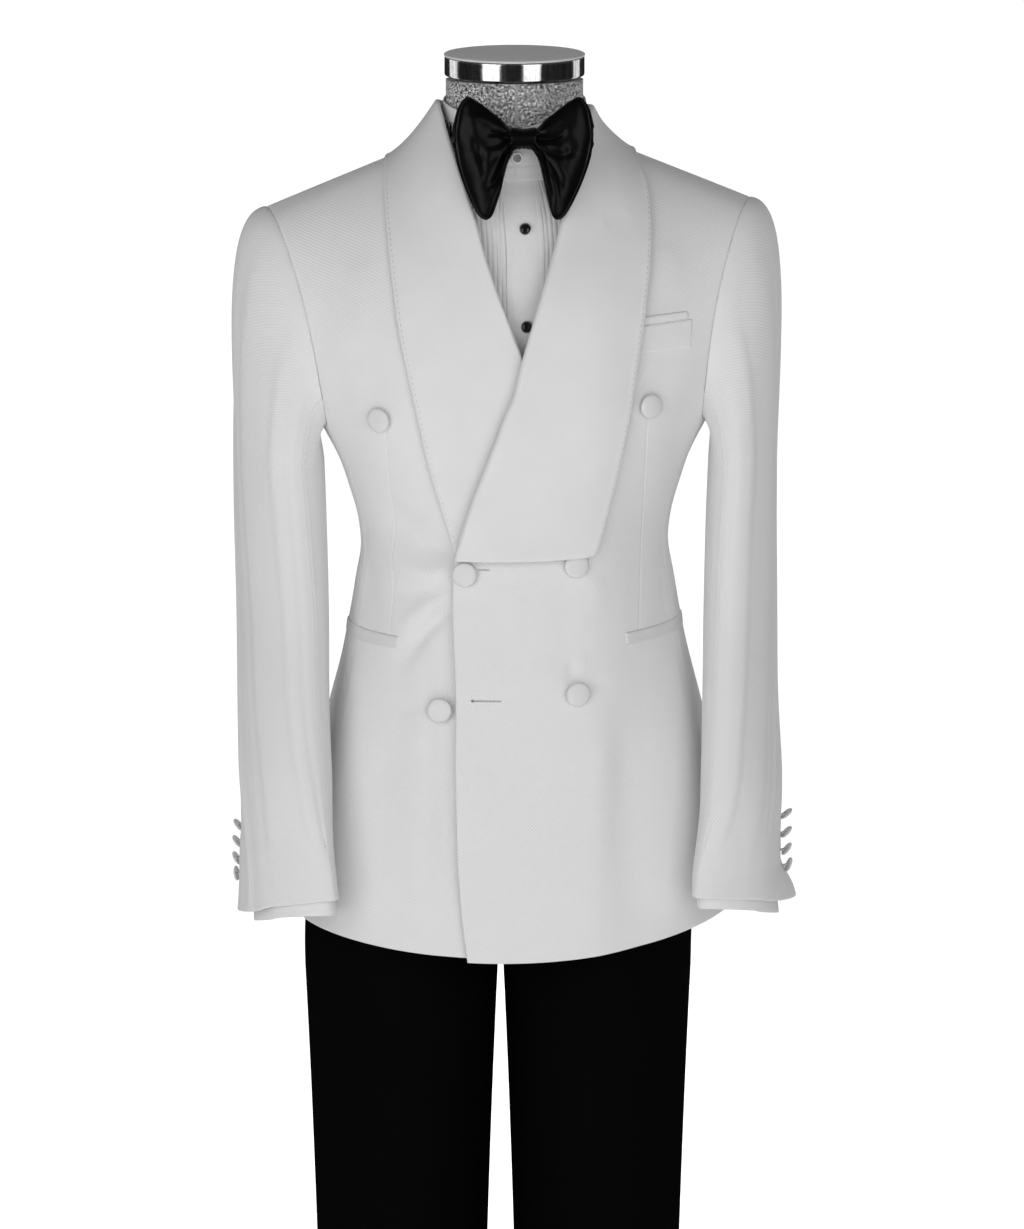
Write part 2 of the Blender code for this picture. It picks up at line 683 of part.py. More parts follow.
def sleeve_skin(side, inset=0.0, bottom=None):
    """The sleeve's outer skin, moved in by inset: angle from its top, length 0 to 1."""

    def skin(angle, length):
        if length >= CAP_SHARE:
            share = (length - CAP_SHARE) / (1 - CAP_SHARE)
            slant = -SLEEVE_HEM_SLANT[side] * math.cos(math.radians(angle - BACK_SEAM))
            low = bottom if bottom is not None else SLEEVE_HEM_MIDDLE[side] + slant
            z = mix(SLEEVE_TOP_Z, low, share)
            return arm_ring(side, z, angle - BACK_SEAM, inset)
        t = max(0.0, length / CAP_SHARE)
        start = armhole_point(side, angle)
        a = math.radians(angle)
        top = (1 + math.cos(a)) / 2
        radial = Vector((0, -math.sin(a), math.cos(a)))
        start += radial * (JACKET_CLOTH - inset)
        start.x += side * (SEAM + JACKET_CLOTH * armhole_lean(side, angle))
        end = arm_ring(side, SLEEVE_TOP_Z, angle - BACK_SEAM, inset)
        leave = Vector((side * (0.010 + 0.150 * top**2), 0, 0))
        arrive = Vector((0, 0, -(0.035 + 0.215 * top)))
        return (
            start * (2 * t**3 - 3 * t**2 + 1)
            + leave * (t**3 - 2 * t**2 + t)
            + end * (3 * t**2 - 2 * t**3)
            + arrive * (t**3 - t**2)
        )

    return skin


def arm_core(side, length):
    z = 1.36 if length < CAP_SHARE * 0.5 else mix(1.30, 0.80, length)
    rows = SLEEVE[side]
    return Vector((side * (column(rows, "x", z) - 0.004), column(rows, "y", z), z))


def sleeve_wall(name, side, skin, angles, lengths, thickness, finish, closed=False):
    outer, inner = [], []
    for length in lengths:
        row_out, row_in = [], []
        for angle in angles:
            point = skin(angle, length)

            def local(a, b):
                return skin(a * 100, b)

            out = normal(local, angle / 100, max(length, 0.003), arm_core(side, length), 0.003)
            row_out.append(point)
            row_in.append(point - out * thickness)
        outer.append(row_out)
        inner.append(row_in)
    wall(name, outer, inner, finish, closed)


def build_sleeve(side, finish):
    """A two-piece sleeve: the top sleeve and the narrower under sleeve."""
    word = "left" if side == LEFT else "right"
    lengths = steps(0, CAP_SHARE, 8) + steps(CAP_SHARE, 1, 8)[1:]
    skin = sleeve_skin(side)
    gap = 0.35  # degrees at each seam
    top = [BACK_SEAM + ARMHOLE_STEP * i for i in range(10)]
    under = [FRONT_SEAM, ARMHOLE_CORNER, 156, 180, 204, 228, 250, 360 + BACK_SEAM]
    for angles in (top, under):
        angles[0] += gap
        angles[-1] -= gap
    sleeve_wall(f"top_sleeve_{word}", side, skin, top, lengths, JACKET_CLOTH, finish)
    sleeve_wall(f"under_sleeve_{word}", side, skin, under, lengths, JACKET_CLOTH, finish)


# ---------------------------------------------------------------- what is sewn on the jacket
def find_on_front(side, x, z):
    """g and v of the front's skin at x (towards its side) and height z."""
    hem = hem_height(side, 0)
    v = (z - hem) / (ARMPIT_Z - hem) if z < ARMPIT_Z else 1 + (z - ARMPIT_Z) / 0.25
    for _ in range(12):
        g = g_at_x(x, v, side)
        point = jacket(side * g, v, side)
        rate = (ARMPIT_Z - hem) if v < 1 else 0.25
        v = min(1.99, v + (z - point.z) / rate)
    return g, v


BUTTON_R = 0.0115
CUFF_BUTTON_R = 0.0073
BUTTON_PROFILE = [  # shares of the button's radius and its height
    (0.0, 0.0), (0.24, 0.0), (0.24, 0.16), (0.90, 0.20), (1.0, 0.45), (0.78, 0.86), (0.0, 1.0),
]
BUTTON_HEIGHT = 0.0052
FrontButton = namedtuple("FrontButton", "name side x z lean_x lean_z")
FRONT_BUTTONS = [
    FrontButton("button_chest_right", RIGHT, 0.1262, 1.2890, 0.10, 0.00),
    FrontButton("button_chest_left", LEFT, 0.1268, 1.3020, -0.08, 0.02),
    FrontButton("button_waist_right", LEFT, -0.0452, 1.1435, -0.02, -0.02),
    FrontButton("button_waist_left", LEFT, 0.0560, 1.1520, 0.00, -0.02),
    FrontButton("button_low_right", RIGHT, 0.0700, 1.0135, -0.10, -0.10),
    FrontButton("button_low_left", LEFT, 0.0580, 1.0300, -0.10, -0.10),
]


def build_front_buttons(finish):
    profile = [(r * BUTTON_R, h * BUTTON_HEIGHT) for r, h in BUTTON_PROFILE]
    for button in FRONT_BUTTONS:
        g, v = find_on_front(button.side, button.x, button.z)
        skin = front_skin(button.side, JACKET_CLOTH)
        out = normal(skin, g, v, jacket_core(v))
        axis = (out + Vector((button.lean_x, 0, button.lean_z))).normalized()
        lean = math.hypot(button.lean_x, button.lean_z)
        place = skin(g, v) + out * (0.0012 + 0.4 * BUTTON_R * lean)
        turned(button.name, profile, finish, place, axis, sides=14)


CuffButton = namedtuple("CuffButton", "z out lean")
CUFF_BUTTONS = {
    RIGHT: [CuffButton(0.8845, 0.0066, 32), CuffButton(0.8690, 0.0066, 35),
            CuffButton(0.8530, 0.0064, 28), CuffButton(0.8385, 0.0062, 14)],
    LEFT: [CuffButton(0.8985, 0.0072, 42), CuffButton(0.8820, 0.0072, 42),
           CuffButton(0.8665, 0.0094, 38), CuffButton(0.8515, 0.0112, 30)],
}
CUFF_BUTTON_ANGLE = {LEFT: 36, RIGHT: 12}  # round the sleeve from its back seam


def build_cuff_buttons(side, finish):
    """Four kissing buttons by the back seam of a cuff, each tipped down over the next."""
    word = "left" if side == LEFT else "right"
    profile = [(r * CUFF_BUTTON_R, (h - 0.5) * 0.0036) for r, h in BUTTON_PROFILE[3:]]
    profile = [(0.0, -0.0012)] + profile
    for number, button in enumerate(CUFF_BUTTONS[side], 1):
        angle = CUFF_BUTTON_ANGLE[side]
        edge = arm_ring(side, button.z, angle)
        outward = (edge - arm_ring(side, button.z, angle + 180)).normalized()
        lean = math.radians(button.lean)
        axis = outward * math.cos(lean) + Vector((0, 0, -math.sin(lean)))
        turned(f"cuff_button_{word}_{number}", profile, finish, edge + outward * button.out, axis, sides=10)


def strip_on_front(name, side, corners, lift, thickness, finish, cols=8, rows=3):
    """A flat piece that lies on a front. corners gives (x, z) at its low and high ends."""
    (x0, z0), (x1, z1), (x2, z2), (x3, z3) = corners
    outer, inner = [], []
    for r in steps(0, 1, rows):
        row_out, row_in = [], []
        for s in steps(0, 1, cols):
            x = mix(mix(x0, x1, s), mix(x3, x2, s), r)
            z = mix(mix(z0, z1, s), mix(z3, z2, s), r)
            g, v = find_on_front(side, x, z)
            row_in.append(front_skin(side, JACKET_CLOTH + lift)(g, v))
            row_out.append(front_skin(side, JACKET_CLOTH + lift + thickness)(g, v))
        outer.append(row_out)
        inner.append(row_in)
    wall(name, outer, inner, finish)


def build_breast_pocket(finish, satin):
    """The welt of the breast pocket, and the satin edge that shows above it."""
    welt = [(0.1040, 1.3500), (0.1670, 1.3540), (0.1680, 1.3815), (0.1070, 1.3760)]
    strip_on_front("breast_welt", LEFT, welt, SEAM, 0.0010, finish)
    insert = [(0.1075, 1.3772), (0.1640, 1.3824), (0.1630, 1.3880), (0.1080, 1.3835)]
    strip_on_front("breast_insert", LEFT, insert, SEAM, 0.0007, satin, rows=2)


HIP_WELT_START = {LEFT: 0.415, RIGHT: 0.445}  # share of the quarter ring from the centre


def build_hip_pocket(side, finish):
    """The welt of a hip pocket, which runs round to the side."""
    word = "left" if side == LEFT else "right"
    low_z, high_z = 1.0695, 1.0815
    grids = [[], []]
    skins = ring_skin(side, JACKET_CLOTH + SEAM + 0.0009), ring_skin(side, JACKET_CLOTH + SEAM)
    start, end = HIP_WELT_START[side], 0.97
    for share in (0, 1):
        for grid, skin in zip(grids, skins):
            row = []
            for g in steps(start, end, 9):
                hem = hem_height(side, g)
                z = mix(low_z, high_z, share) + 0.006 * (g - start) / (end - start)
                row.append(skin(g, (z - hem) / (ARMPIT_Z - hem)))
            grid.append(row)
    wall(f"hip_welt_{word}", *grids, finish)


# ---------------------------------------------------------------- trousers
def leg_axis_x(z):
    """The trousers are centred on the hips at the waist, and hang off centre at the legs."""
    return LEG_AXIS_X * (1 - ease(0.76, 0.96, z))


def trouser_point(side, behind, c, z):
    """The trousers' outer skin. c is 0 at the inseam or centre seam and 1 at the side seam."""
    name = "back" if behind else "front"
    face = 1 if behind else -1
    level = min(z, CROTCH_Z)
    angle = math.pi * (1 - c)
    across, deep = math.cos(angle), math.sin(angle)
    power = 2 / LEG_POWER
    half = column(LEG, "half_width", level) * LEG_WIDTH[side]
    x = LEG_OFFSET + math.copysign(abs(across) ** power, across) * half
    y = face * abs(deep) ** power * column(LEG, name, level)
    leg = Vector((x, y, z))
    wide, flat = quarter(c, 2.2)
    hip_y = face * flat * column(HIPS, name, max(z, CROTCH_Z))
    hip = Vector((0.0003 + wide * column(HIPS, "half_width", max(z, CROTCH_Z)), hip_y, z))
    point = leg.lerp(hip, ease(CROTCH_Z, FLY_TOP_Z, z))
    return Vector((leg_axis_x(z) + side * point.x, point.y, point.z))


def build_trouser_panel(side, behind, finish):
    word = ("left" if side == LEFT else "right") + ("_back" if behind else "_front")
    heights = [TROUSER_TOP_Z, 0.988, 0.926, FLY_TOP_Z, 0.846, 0.823] + steps(CROTCH_Z, TROUSER_HEM_Z, 7)
    outer, inner = [], []
    for z in heights:
        row_out, row_in = [], []
        for c in steps(0, 1, 10):
            trim = 0.0022 if z > CROTCH_Z else 0.0014
            c = min(max(c, trim), 1 - 0.0014)

            def skin(a, b):
                return trouser_point(side, behind, min(max(a, 0.001), 0.999), b)

            centre_x = mix(LEG_OFFSET, 0.05, ease(CROTCH_Z, FLY_TOP_Z, z))
            core = Vector((leg_axis_x(z) + side * centre_x, 0, z))
            point = skin(c, z)
            row_out.append(point)
            row_in.append(point - normal(skin, c, z, core) * TROUSER_CLOTH)
        outer.append(row_out)
        inner.append(row_in)
    wall(f"trouser_{word}", outer, inner, finish)


def build_waistband(finish):
    outer, inner = [], []
    for z in (TROUSER_TOP_Z + SEAM, WAISTBAND_TOP_Z):
        for grid, inset in ((outer, 0.0), (inner, 0.0016)):
            row = []
            for i in range(30):
                angle = 2 * math.pi * i / 30
                wide, deep = math.sin(angle), math.cos(angle)
                name = "front" if deep > 0 else "back"
                x = math.copysign(abs(wide) ** (2 / 2.2), wide) * (column(HIPS, "half_width", z) - inset)
                y = -math.copysign(abs(deep) ** (2 / 2.2), deep) * (column(HIPS, name, z) - inset)
                row.append(Vector((x, y, z)))
            grid.append(row)
    wall("waistband", outer, inner, finish, closed=True)


# ---------------------------------------------------------------- dress form
TORSO_ROWS = [0.95, 1.04, 1.15, 1.26, 1.35, 1.42, 1.46, 1.485, 1.502, 1.512]
FORM_BOTTOM_Z = 0.890
FORM_TOP_Z = 1.6020


def form_point(angle, z, out=0.0):
    """The dress form's skin, moved out by out. angle 0 is the front, 90 the wearer's left."""
    wide, deep = math.sin(angle), math.cos(angle)
    power = mix(2.3, 2.0, ease(1.44, 1.52, z))
    name = "front" if deep > 0 else "back"
    x = math.copysign(abs(wide) ** (2 / power), wide) * (column(FORM, "half_width", z) + out)
    y = -math.copysign(abs(deep) ** (2 / power), deep) * (column(FORM, name, z) + out)
    return Vector((x, y, z + neck_slope(z) * (y + NECK_R)))


def neck_slope(z):
    """The base of the neck is higher behind than in front."""
    return 0.22 * ease(1.43, 1.51, z) * (1 - ease(1.555, 1.600, z))


def build_form(cloth, chrome, plastic, steel):
    sides = 24
    heights = [FORM_BOTTOM_Z, 0.900] + TORSO_ROWS + [FORM_TOP_Z]
    build = bmesh.new()
    rings = []
    for z in heights:
        ring = [form_point(2 * math.pi * i / sides, z) for i in range(sides)]
        rings.append([build.verts.new(p) for p in ring])
    for low, high in zip(rings, rings[1:]):
        for i in range(sides):
            k = (i + 1) % sides
            build.faces.new([low[i], low[k], high[k], high[i]])
    build.faces.new(rings[0])
    build.faces.new(rings[-1])
    add_object("form_torso", seal(build), cloth)

    tip = Vector((0, -math.sin(CAP_TILT), math.cos(CAP_TILT)))
    band_base = Vector((0, 0, 1.6060))
    band = [
        (0.0, 0.0), (BAND_R - 0.0015, 0.0), (BAND_R, 0.0012),
        (BAND_R, BAND_HEIGHT - 0.0012), (BAND_R - 0.0012, BAND_HEIGHT), (0.0, BAND_HEIGHT),
    ]
    turned("form_neck_band", band, chrome, band_base, tip, sides=30)
    cap = [
        (0.0, 0.0), (BAND_R + 0.0004, 0.0), (BAND_R + 0.0007, 0.0010),
        (BAND_R - 0.0010, 0.0024), (0.0, 0.0030),
    ]
    turned("form_cap", cap, plastic, band_base + tip * (BAND_HEIGHT + SEAM), tip, sides=30)

    for side in (LEFT, RIGHT):
        word = "left" if side == LEFT else "right"
        length = FORM_BOTTOM_Z - STAND_THICKNESS - 2 * SEAM
        rod = [(0.0, 0.0), (ROD_RADIUS, 0.0), (ROD_RADIUS, length), (0.0, length)]
        place = Vector((LEG_AXIS_X + side * LEG_OFFSET, 0, STAND_THICKNESS + SEAM))
        turned(f"form_rod_{word}", rod, steel, place, sides=12)
    plate = [
        (0.0, 0.0), (STAND_RADIUS, 0.0), (STAND_RADIUS, 0.0065),
        (STAND_RADIUS - 0.0035, STAND_THICKNESS), (0.0, STAND_THICKNESS),
    ]
    turned("form_stand", plate, steel, Vector((0, 0, 0)), sides=36)


# ---------------------------------------------------------------- shirt
SHIRT_OUT = 0.0034  # the shirt's inside stands this far off the form
PLACKET_X = 0.0105
PLACKET_HALF = 0.0175
PLEAT = 0.0046
PLEAT_STEP = 0.0008
PLEATS = 7


def shirt_angle(x, z):
    """The angle of the shirt's front at x."""
    low, high = -math.pi / 2, math.pi / 2
    for _ in range(28):
        angle = (low + high) / 2
        if form_point(angle, z, SHIRT_OUT).x < x:
            low = angle
        else:
            high = angle
    return angle


def shirt_placket_x(z):
    """The placket leans: it starts nearer the centre at the collar."""
    return PLACKET_X - 0.006 * ease(1.44, 1.53, z)


def build_shirt_front(side, finish):
    """Half of the shirt's front, with pin tucks beside the placket."""
    outer, inner = [], []
    for z in TORSO_ROWS:
        start = shirt_placket_x(z) + side * (PLACKET_HALF - 0.004)
        fade = 1 - ease(1.15, 1.05, 2.2 - z)
        row = [(start, 0.0)]
        narrow = min(1.0, column(FORM, "half_width", z) / 0.120)
        for k in range(PLEATS):
            x = start + side * (0.0052 + PLEAT * (k + 0.04) * narrow)
            row += [(x, PLEAT_STEP * fade), (x + side * PLEAT * 0.90 * narrow, 0.0)]
        tail = row[-1][0]
        last = form_point(side * math.radians(80), z, SHIRT_OUT).x
        row += [(mix(tail, last, s), 0.0) for s in (0.32, 0.60, 0.82, 0.94, 1.0)]
        row_out, row_in = [], []
        for x, step in row:
            angle = shirt_angle(x, z)
            row_in.append(form_point(angle, z, SHIRT_OUT))
            row_out.append(form_point(angle, z, SHIRT_OUT + SHIRT_CLOTH + step))
        outer.append(row_out)
        inner.append(row_in)
    wall(f"shirt_front_{'left' if side == LEFT else 'right'}", outer, inner, finish)


def build_shirt_back(finish):
    grids = [[], []]
    for z in TORSO_ROWS:
        for grid, out in zip(grids, (SHIRT_OUT + SHIRT_CLOTH, SHIRT_OUT)):
            angles = steps(math.radians(80.5), math.radians(279.5), 12)
            grid.append([form_point(a, z, out) for a in angles])
    wall("shirt_back", *grids, finish)


def build_placket(finish):
    grids = [[], []]
    for z in TORSO_ROWS[2:]:
        middle = shirt_placket_x(z)
        angles = [shirt_angle(middle + PLACKET_HALF * s, z) for s in (-1, -0.5, 0, 0.5, 1)]
        for grid, lift in zip(grids, (0.0012, 0.0004)):
            out = SHIRT_OUT + SHIRT_CLOTH + lift
            grid.append([form_point(a, z, out) for a in angles])
    wall("shirt_placket", *grids, finish)


def collar_height(angle, top):
    """Height of the shirt collar's lower or upper edge; angle 0 is the front."""
    back = (1 - math.cos(angle)) / 2
    if top:
        dip = 0.010 * math.exp(-((angle / 0.55) ** 2))
        return mix(1.5700, 1.5920, back**0.8) - dip
    return 1.5130 + 2 * neck_slope(1.513) * NECK_R * back


def build_shirt_collar(finish):
    """The stand collar: it opens at the centre front, where its ends meet."""
    grids = [[], []]
    start = math.radians(0.5)
    for share in (0, 0.5, 1):
        for grid, out in zip(grids, (SHIRT_CLOTH + 0.0005, 0)):
            row = []
            for angle in steps(start, 2 * math.pi - start, 25):
                signed = angle if angle < math.pi else angle - 2 * math.pi
                z = mix(collar_height(signed, False), collar_height(signed, True), share)
                radius = COLLAR_R + out
                row.append(Vector((radius * math.sin(angle), -radius * math.cos(angle), z)))
            grid.append(row)
    wall("shirt_collar", *grids, finish)


CUFF_LOW_Z = {LEFT: 0.8175, RIGHT: 0.8080}
CUFF_HIGH_Z = 0.8600
SHIRT_CUFF_SLANT = {LEFT: 0.0040, RIGHT: 0.0085}
CUFF_LONG = 0.0500
CUFF_SHORT = 0.0268
CUFF_SHIFT = 0.0070  # towards the front seam


def build_shirt_sleeve(side, finish):
    """The shirt's sleeve, inside the jacket's, and its cuff, which shows below."""
    word = "left" if side == LEFT else "right"
    lengths = [0.28, CAP_SHARE, 0.5, 0.65, 0.8, 0.90]
    skin = sleeve_skin(side, inset=0.0052)
    angles = [360 * i / 12 for i in range(12)]
    sleeve_wall(f"shirt_sleeve_{word}", side, skin, angles, lengths, SHIRT_CLOTH, finish, closed=True)
    rows = SLEEVE[side]
    outer, inner = [], []
    low, high = CUFF_LOW_Z[side], CUFF_HIGH_Z
    for share in (0, 1):
        for grid, inset in ((outer, 0.0), (inner, 0.0016)):
            row = []
            for angle in [360 * i / 16 for i in range(16)]:
                a = math.radians(angle)
                z = mix(low - SHIRT_CUFF_SLANT[side] * math.cos(a), high, share)
                turn = math.radians(column(rows, "turn", z))
                axis = Vector((math.cos(turn), math.sin(turn)))
                cross = Vector((math.sin(turn), -math.cos(turn)))
                long, short = CUFF_LONG - inset, CUFF_SHORT - inset
                point = axis * (long * math.cos(a) - CUFF_SHIFT) + cross * (short * math.sin(a))
                x, y = column(rows, "x", z) + point.x, column(rows, "y", z) + point.y
                row.append(Vector((side * x, y, z)))
            grid.append(row)
    wall(f"shirt_cuff_{word}", outer, inner, finish, closed=True)


def build_studs(black, pearl):
    """Two black studs on the placket, and the collar's pearl button."""
    dome = [(0.0, 0.0), (0.0052, 0.0), (0.0056, 0.0012), (0.0050, 0.0024), (0.0034, 0.0034), (0.0, 0.0038)]
    for name, z in (("shirt_stud_upper", 1.4690), ("shirt_stud_lower", 1.3770)):
        x = shirt_placket_x(z) + 0.0010
        placket = SHIRT_OUT + SHIRT_CLOTH + 0.0012
        low, middle, high = (form_point(shirt_angle(x, h), h, placket) for h in (z - 0.02, z, z + 0.02))
        out = (high - low).cross(Vector((-1, 0, 0))).normalized()
        place = middle + out * 0.0010
        turned(name, dome, black, place, out, sides=12)
    button = [(0.0, 0.0), (0.0050, 0.0), (0.0055, 0.0010), (0.0050, 0.0018), (0.0038, 0.0014), (0.0, 0.0014)]
    place = Vector((0.0026, -COLLAR_R - SHIRT_CLOTH - 0.0005 - 0.0006, 1.5330))
    turned("collar_button", button, pearl, place, Vector((0.03, -1, 0)).normalized(), sides=12)


# ---------------------------------------------------------------- bow tie
# Each wing is a leaf of satin: rows run from the knot to the outer fold.
# x is out from the knot's side, low and high are the leaf's edges, depth is how far forward it bulges.
Leaf = namedtuple("Leaf", "x low high depth")
BOW_WING = [
    Leaf(0.0000, -0.0100, 0.0085, 0.0040),
    Leaf(0.0045, -0.0290, 0.0145, 0.0075),
    Leaf(0.0110, -0.0520, 0.0205, 0.0105),
    Leaf(0.0165, -0.0680, 0.0250, 0.0120),
    Leaf(0.0228, -0.0730, 0.0300, 0.0125),
    Leaf(0.0300, -0.0630, 0.0350, 0.0120),
    Leaf(0.0395, -0.0450, 0.0385, 0.0100),
    Leaf(0.0475, -0.0240, 0.0285, 0.0070),
    Leaf(0.0515, -0.0040, 0.0110, 0.0035),
]
BOW_SWAY = {LEFT: -0.05, RIGHT: 0.0}  # how far a wing's lower end leans in, by its depth
BOW_KNOT = Vector((0.0085, -0.0925, 1.5525))
KNOT_HALF = 0.0118


def bow_point(side, out, share, layer):
    """A point of a wing: out is 0 at the knot and 1 at the fold, share 0 low and 1 high."""
    x = out * BOW_WING[-1].x
    low, high = column(BOW_WING, "low", x), column(BOW_WING, "high", x)
    z = mix(low, high, share)
    bulge = column(BOW_WING, "depth", x) * math.sin(math.pi * min(max(share, 0.0), 1.0)) ** 0.6
    pleat = 0.0022 * math.sin(share * 5 * math.pi) * math.exp(-((x / 0.014) ** 2))
    y = -bulge - pleat if layer == 0 else 0.1 * bulge + pleat
    lean = 0.03 * x + 0.36 * min(0.0, z + 0.012)  # back round the neck, and out over the chest
    x += BOW_SWAY[side] * max(0.0, -z) * x / 0.023 if x < 0.023 else BOW_SWAY[side] * max(0.0, -z)
    return BOW_KNOT + Vector((side * (KNOT_HALF + 0.0006 + x), y + lean, z))


def build_bow_wing(side, layer, finish):
    """One leaf of the bow: layer 0 is in front and layer 1 lies behind it."""
    word = ("left" if side == LEFT else "right") + ("_front" if layer == 0 else "_back")
    grids = [[], []]
    shift = Vector((0, 0.0010, 0)) if layer == 0 else Vector((side * 0.0015, 0.0048, 0.0))
    for out in steps(0, 1, 9):
        for grid, back in zip(grids, (0, BOW_CLOTH if layer == 0 else BOW_CLOTH * 0.8)):
            shares = steps(0, 1, 9)
            grid.append([bow_point(side, out, s, layer) + shift + Vector((0, back, 0)) for s in shares])
    wall(f"bow_wing_{word}", *grids, finish)


def build_bow_knot(finish):
    """The band round the middle of the bow."""
    outer, inner = [], []
    for x in steps(-KNOT_HALF, KNOT_HALF, 5):
        for grid, inset in ((outer, 0.0), (inner, 0.0020)):
            row = []
            pinch = 0.0006 * math.cos(x / KNOT_HALF * math.pi)
            for i in range(14):
                a = 2 * math.pi * i / 14
                high, deep = 0.0102 - inset - pinch, 0.0125 - inset
                row.append(BOW_KNOT + Vector((x, 0.0080 - deep * math.cos(a), high * math.sin(a))))
            grid.append(row)
    wall("bow_knot", outer, inner, finish, closed=True)


def build_neckband(finish):
    """The band that holds the bow round the shirt collar."""
    grids = [[], []]
    for share in (0, 1):
        for grid, out in zip(grids, (0.0012, 0)):
            row = []
            for i in range(30):
                angle = 2 * math.pi * i / 30
                back = (1 - math.cos(angle)) / 2
                radius = COLLAR_R + SHIRT_CLOTH + 0.0005 + SEAM + out
                z = mix(1.5530, 1.5660, back) + 0.013 * (share - 0.5)
                row.append(Vector((radius * math.sin(angle), -radius * math.cos(angle), z)))
            grid.append(row)
    wall("bow_neckband", *grids, finish, closed=True)


# ---------------------------------------------------------------- assembly
def main():
    for old in list(bpy.data.objects):
        bpy.data.objects.remove(old)
    wool = material("white_wool", (0.80, 0.80, 0.81), 0.85)
    satin = material("white_satin", (0.82, 0.82, 0.83), 0.55)
    black_wool = material("black_wool", (0.010, 0.010, 0.011), 0.85)
    black_satin = material("black_satin", (0.010, 0.010, 0.012), 0.30)
    cotton = material("shirt_cotton", (0.84, 0.84, 0.85), 0.80)
    onyx = material("black_stud", (0.01, 0.01, 0.01), 0.10)
    pearl = material("pearl_button", (0.85, 0.85, 0.86), 0.30)
    form_cloth = material("form_cloth", (0.32, 0.32, 0.33), 0.90)
    chrome = material("chrome_band", (0.75, 0.75, 0.76), 0.08, 1.0)
    grey = material("cap_plastic", (0.45, 0.45, 0.46), 0.45)
    steel = material("stand_steel", (0.55, 0.55, 0.56), 0.30, 1.0)

    build_form(form_cloth, chrome, grey, steel)
    build_shirt_back(cotton)
    build_placket(cotton)
    build_shirt_collar(cotton)
    build_studs(onyx, pearl)
    build_collar_stand(wool)
    build_breast_pocket(wool, satin)
    build_front_buttons(satin)
    build_bow_knot(black_satin)
    build_neckband(black_satin)
    build_waistband(black_wool)
    for side in (LEFT, RIGHT):
        build_shirt_front(side, cotton)
        build_shirt_sleeve(side, cotton)
        build_front(side, wool)
        build_side(side, wool)
        build_back(side, wool)
        build_lapel(side, satin)
        build_sleeve(side, wool)
        build_hip_pocket(side, wool)
        build_cuff_buttons(side, satin)
        for behind in (False, True):
            build_trouser_panel(side, behind, black_wool)
        for layer in (0, 1):
            build_bow_wing(side, layer, black_satin)


main()
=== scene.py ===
import math

import bmesh
import bpy
import numpy as np
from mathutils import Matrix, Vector


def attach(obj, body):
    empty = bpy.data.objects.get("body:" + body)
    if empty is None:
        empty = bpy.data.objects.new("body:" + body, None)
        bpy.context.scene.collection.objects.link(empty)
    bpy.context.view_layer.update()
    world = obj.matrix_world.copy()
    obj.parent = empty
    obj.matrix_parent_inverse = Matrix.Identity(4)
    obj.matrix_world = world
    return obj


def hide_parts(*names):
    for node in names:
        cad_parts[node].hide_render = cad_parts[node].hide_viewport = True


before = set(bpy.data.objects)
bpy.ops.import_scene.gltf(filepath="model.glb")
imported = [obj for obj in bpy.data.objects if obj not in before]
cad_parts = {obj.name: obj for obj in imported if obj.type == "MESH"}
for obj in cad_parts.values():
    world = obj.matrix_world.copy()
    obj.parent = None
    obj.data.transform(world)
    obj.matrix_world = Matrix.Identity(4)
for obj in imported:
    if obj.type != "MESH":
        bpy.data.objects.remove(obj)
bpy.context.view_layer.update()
print("frame loaded with", len(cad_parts), "nodes")

left, right = 1, -1
sideWord = {left: "left", right: "right"}


# ---- numbers and tables
def mix(a, b, share):
    return a + (b - a) * share


def ease(low, high, value):  # 0 below low, 1 above high, smooth between
    share = np.clip((value - low) / (high - low), 0, 1)
    return share * share * (3 - 2 * share)


def fade(low, high, value):  # 1 below low, 0 above high
    return 1 - ease(low, high, value)


def hump(off, width):  # 1 at zero, falling away smoothly on both sides
    return np.exp(-((off / width) ** 2))


def bent(wave, power):  # a sine or cosine made squarer or flatter, its sign kept
    return np.sign(wave) * np.abs(wave) ** power


def table(columns, rows):  # named columns from rows of numbers
    values = np.array(rows, float)
    return {name: values[:, k] for k, name in enumerate(columns.split())}


def millimetres(columns, rows):  # the same, from rows in millimetres
    return {name: values / 1000 for name, values in table(columns, rows).items()}


def column(rows, name, at):  # a column read at an ordinate, on a smooth curve through its rows
    keys, value = next(iter(rows.values())), rows[name]
    at = np.clip(at, keys[0], keys[-1])
    k = np.clip(np.searchsorted(keys, at, side="right") - 1, 0, len(keys) - 2)
    span = np.diff(keys)
    chord = np.diff(value) / span
    inner = (value[2:] - value[:-2]) / (keys[2:] - keys[:-2])
    slopes = np.concatenate([chord[:1], inner, chord[-1:]])
    t = (at - keys[k]) / span[k]
    level = value[k] * (2 * t**3 - 3 * t**2 + 1) + value[k + 1] * (3 * t**2 - 2 * t**3)
    return level + span[k] * (slopes[k] * (t**3 - 2 * t**2 + t) + slopes[k + 1] * (t**3 - t**2))


def point(x, y, z):
    return np.stack(np.broadcast_arrays(x, y, z), -1).astype(float)


def unit(vectors):
    return vectors / np.maximum(np.linalg.norm(vectors, axis=-1, keepdims=True), 1e-12)


def runLength(places, axis=0):  # the distance along each line of places, from its start
    total = np.cumsum(np.linalg.norm(np.diff(places, axis=axis), axis=-1), axis)
    return np.concatenate([np.zeros_like(total.take([0], axis)), total], axis)


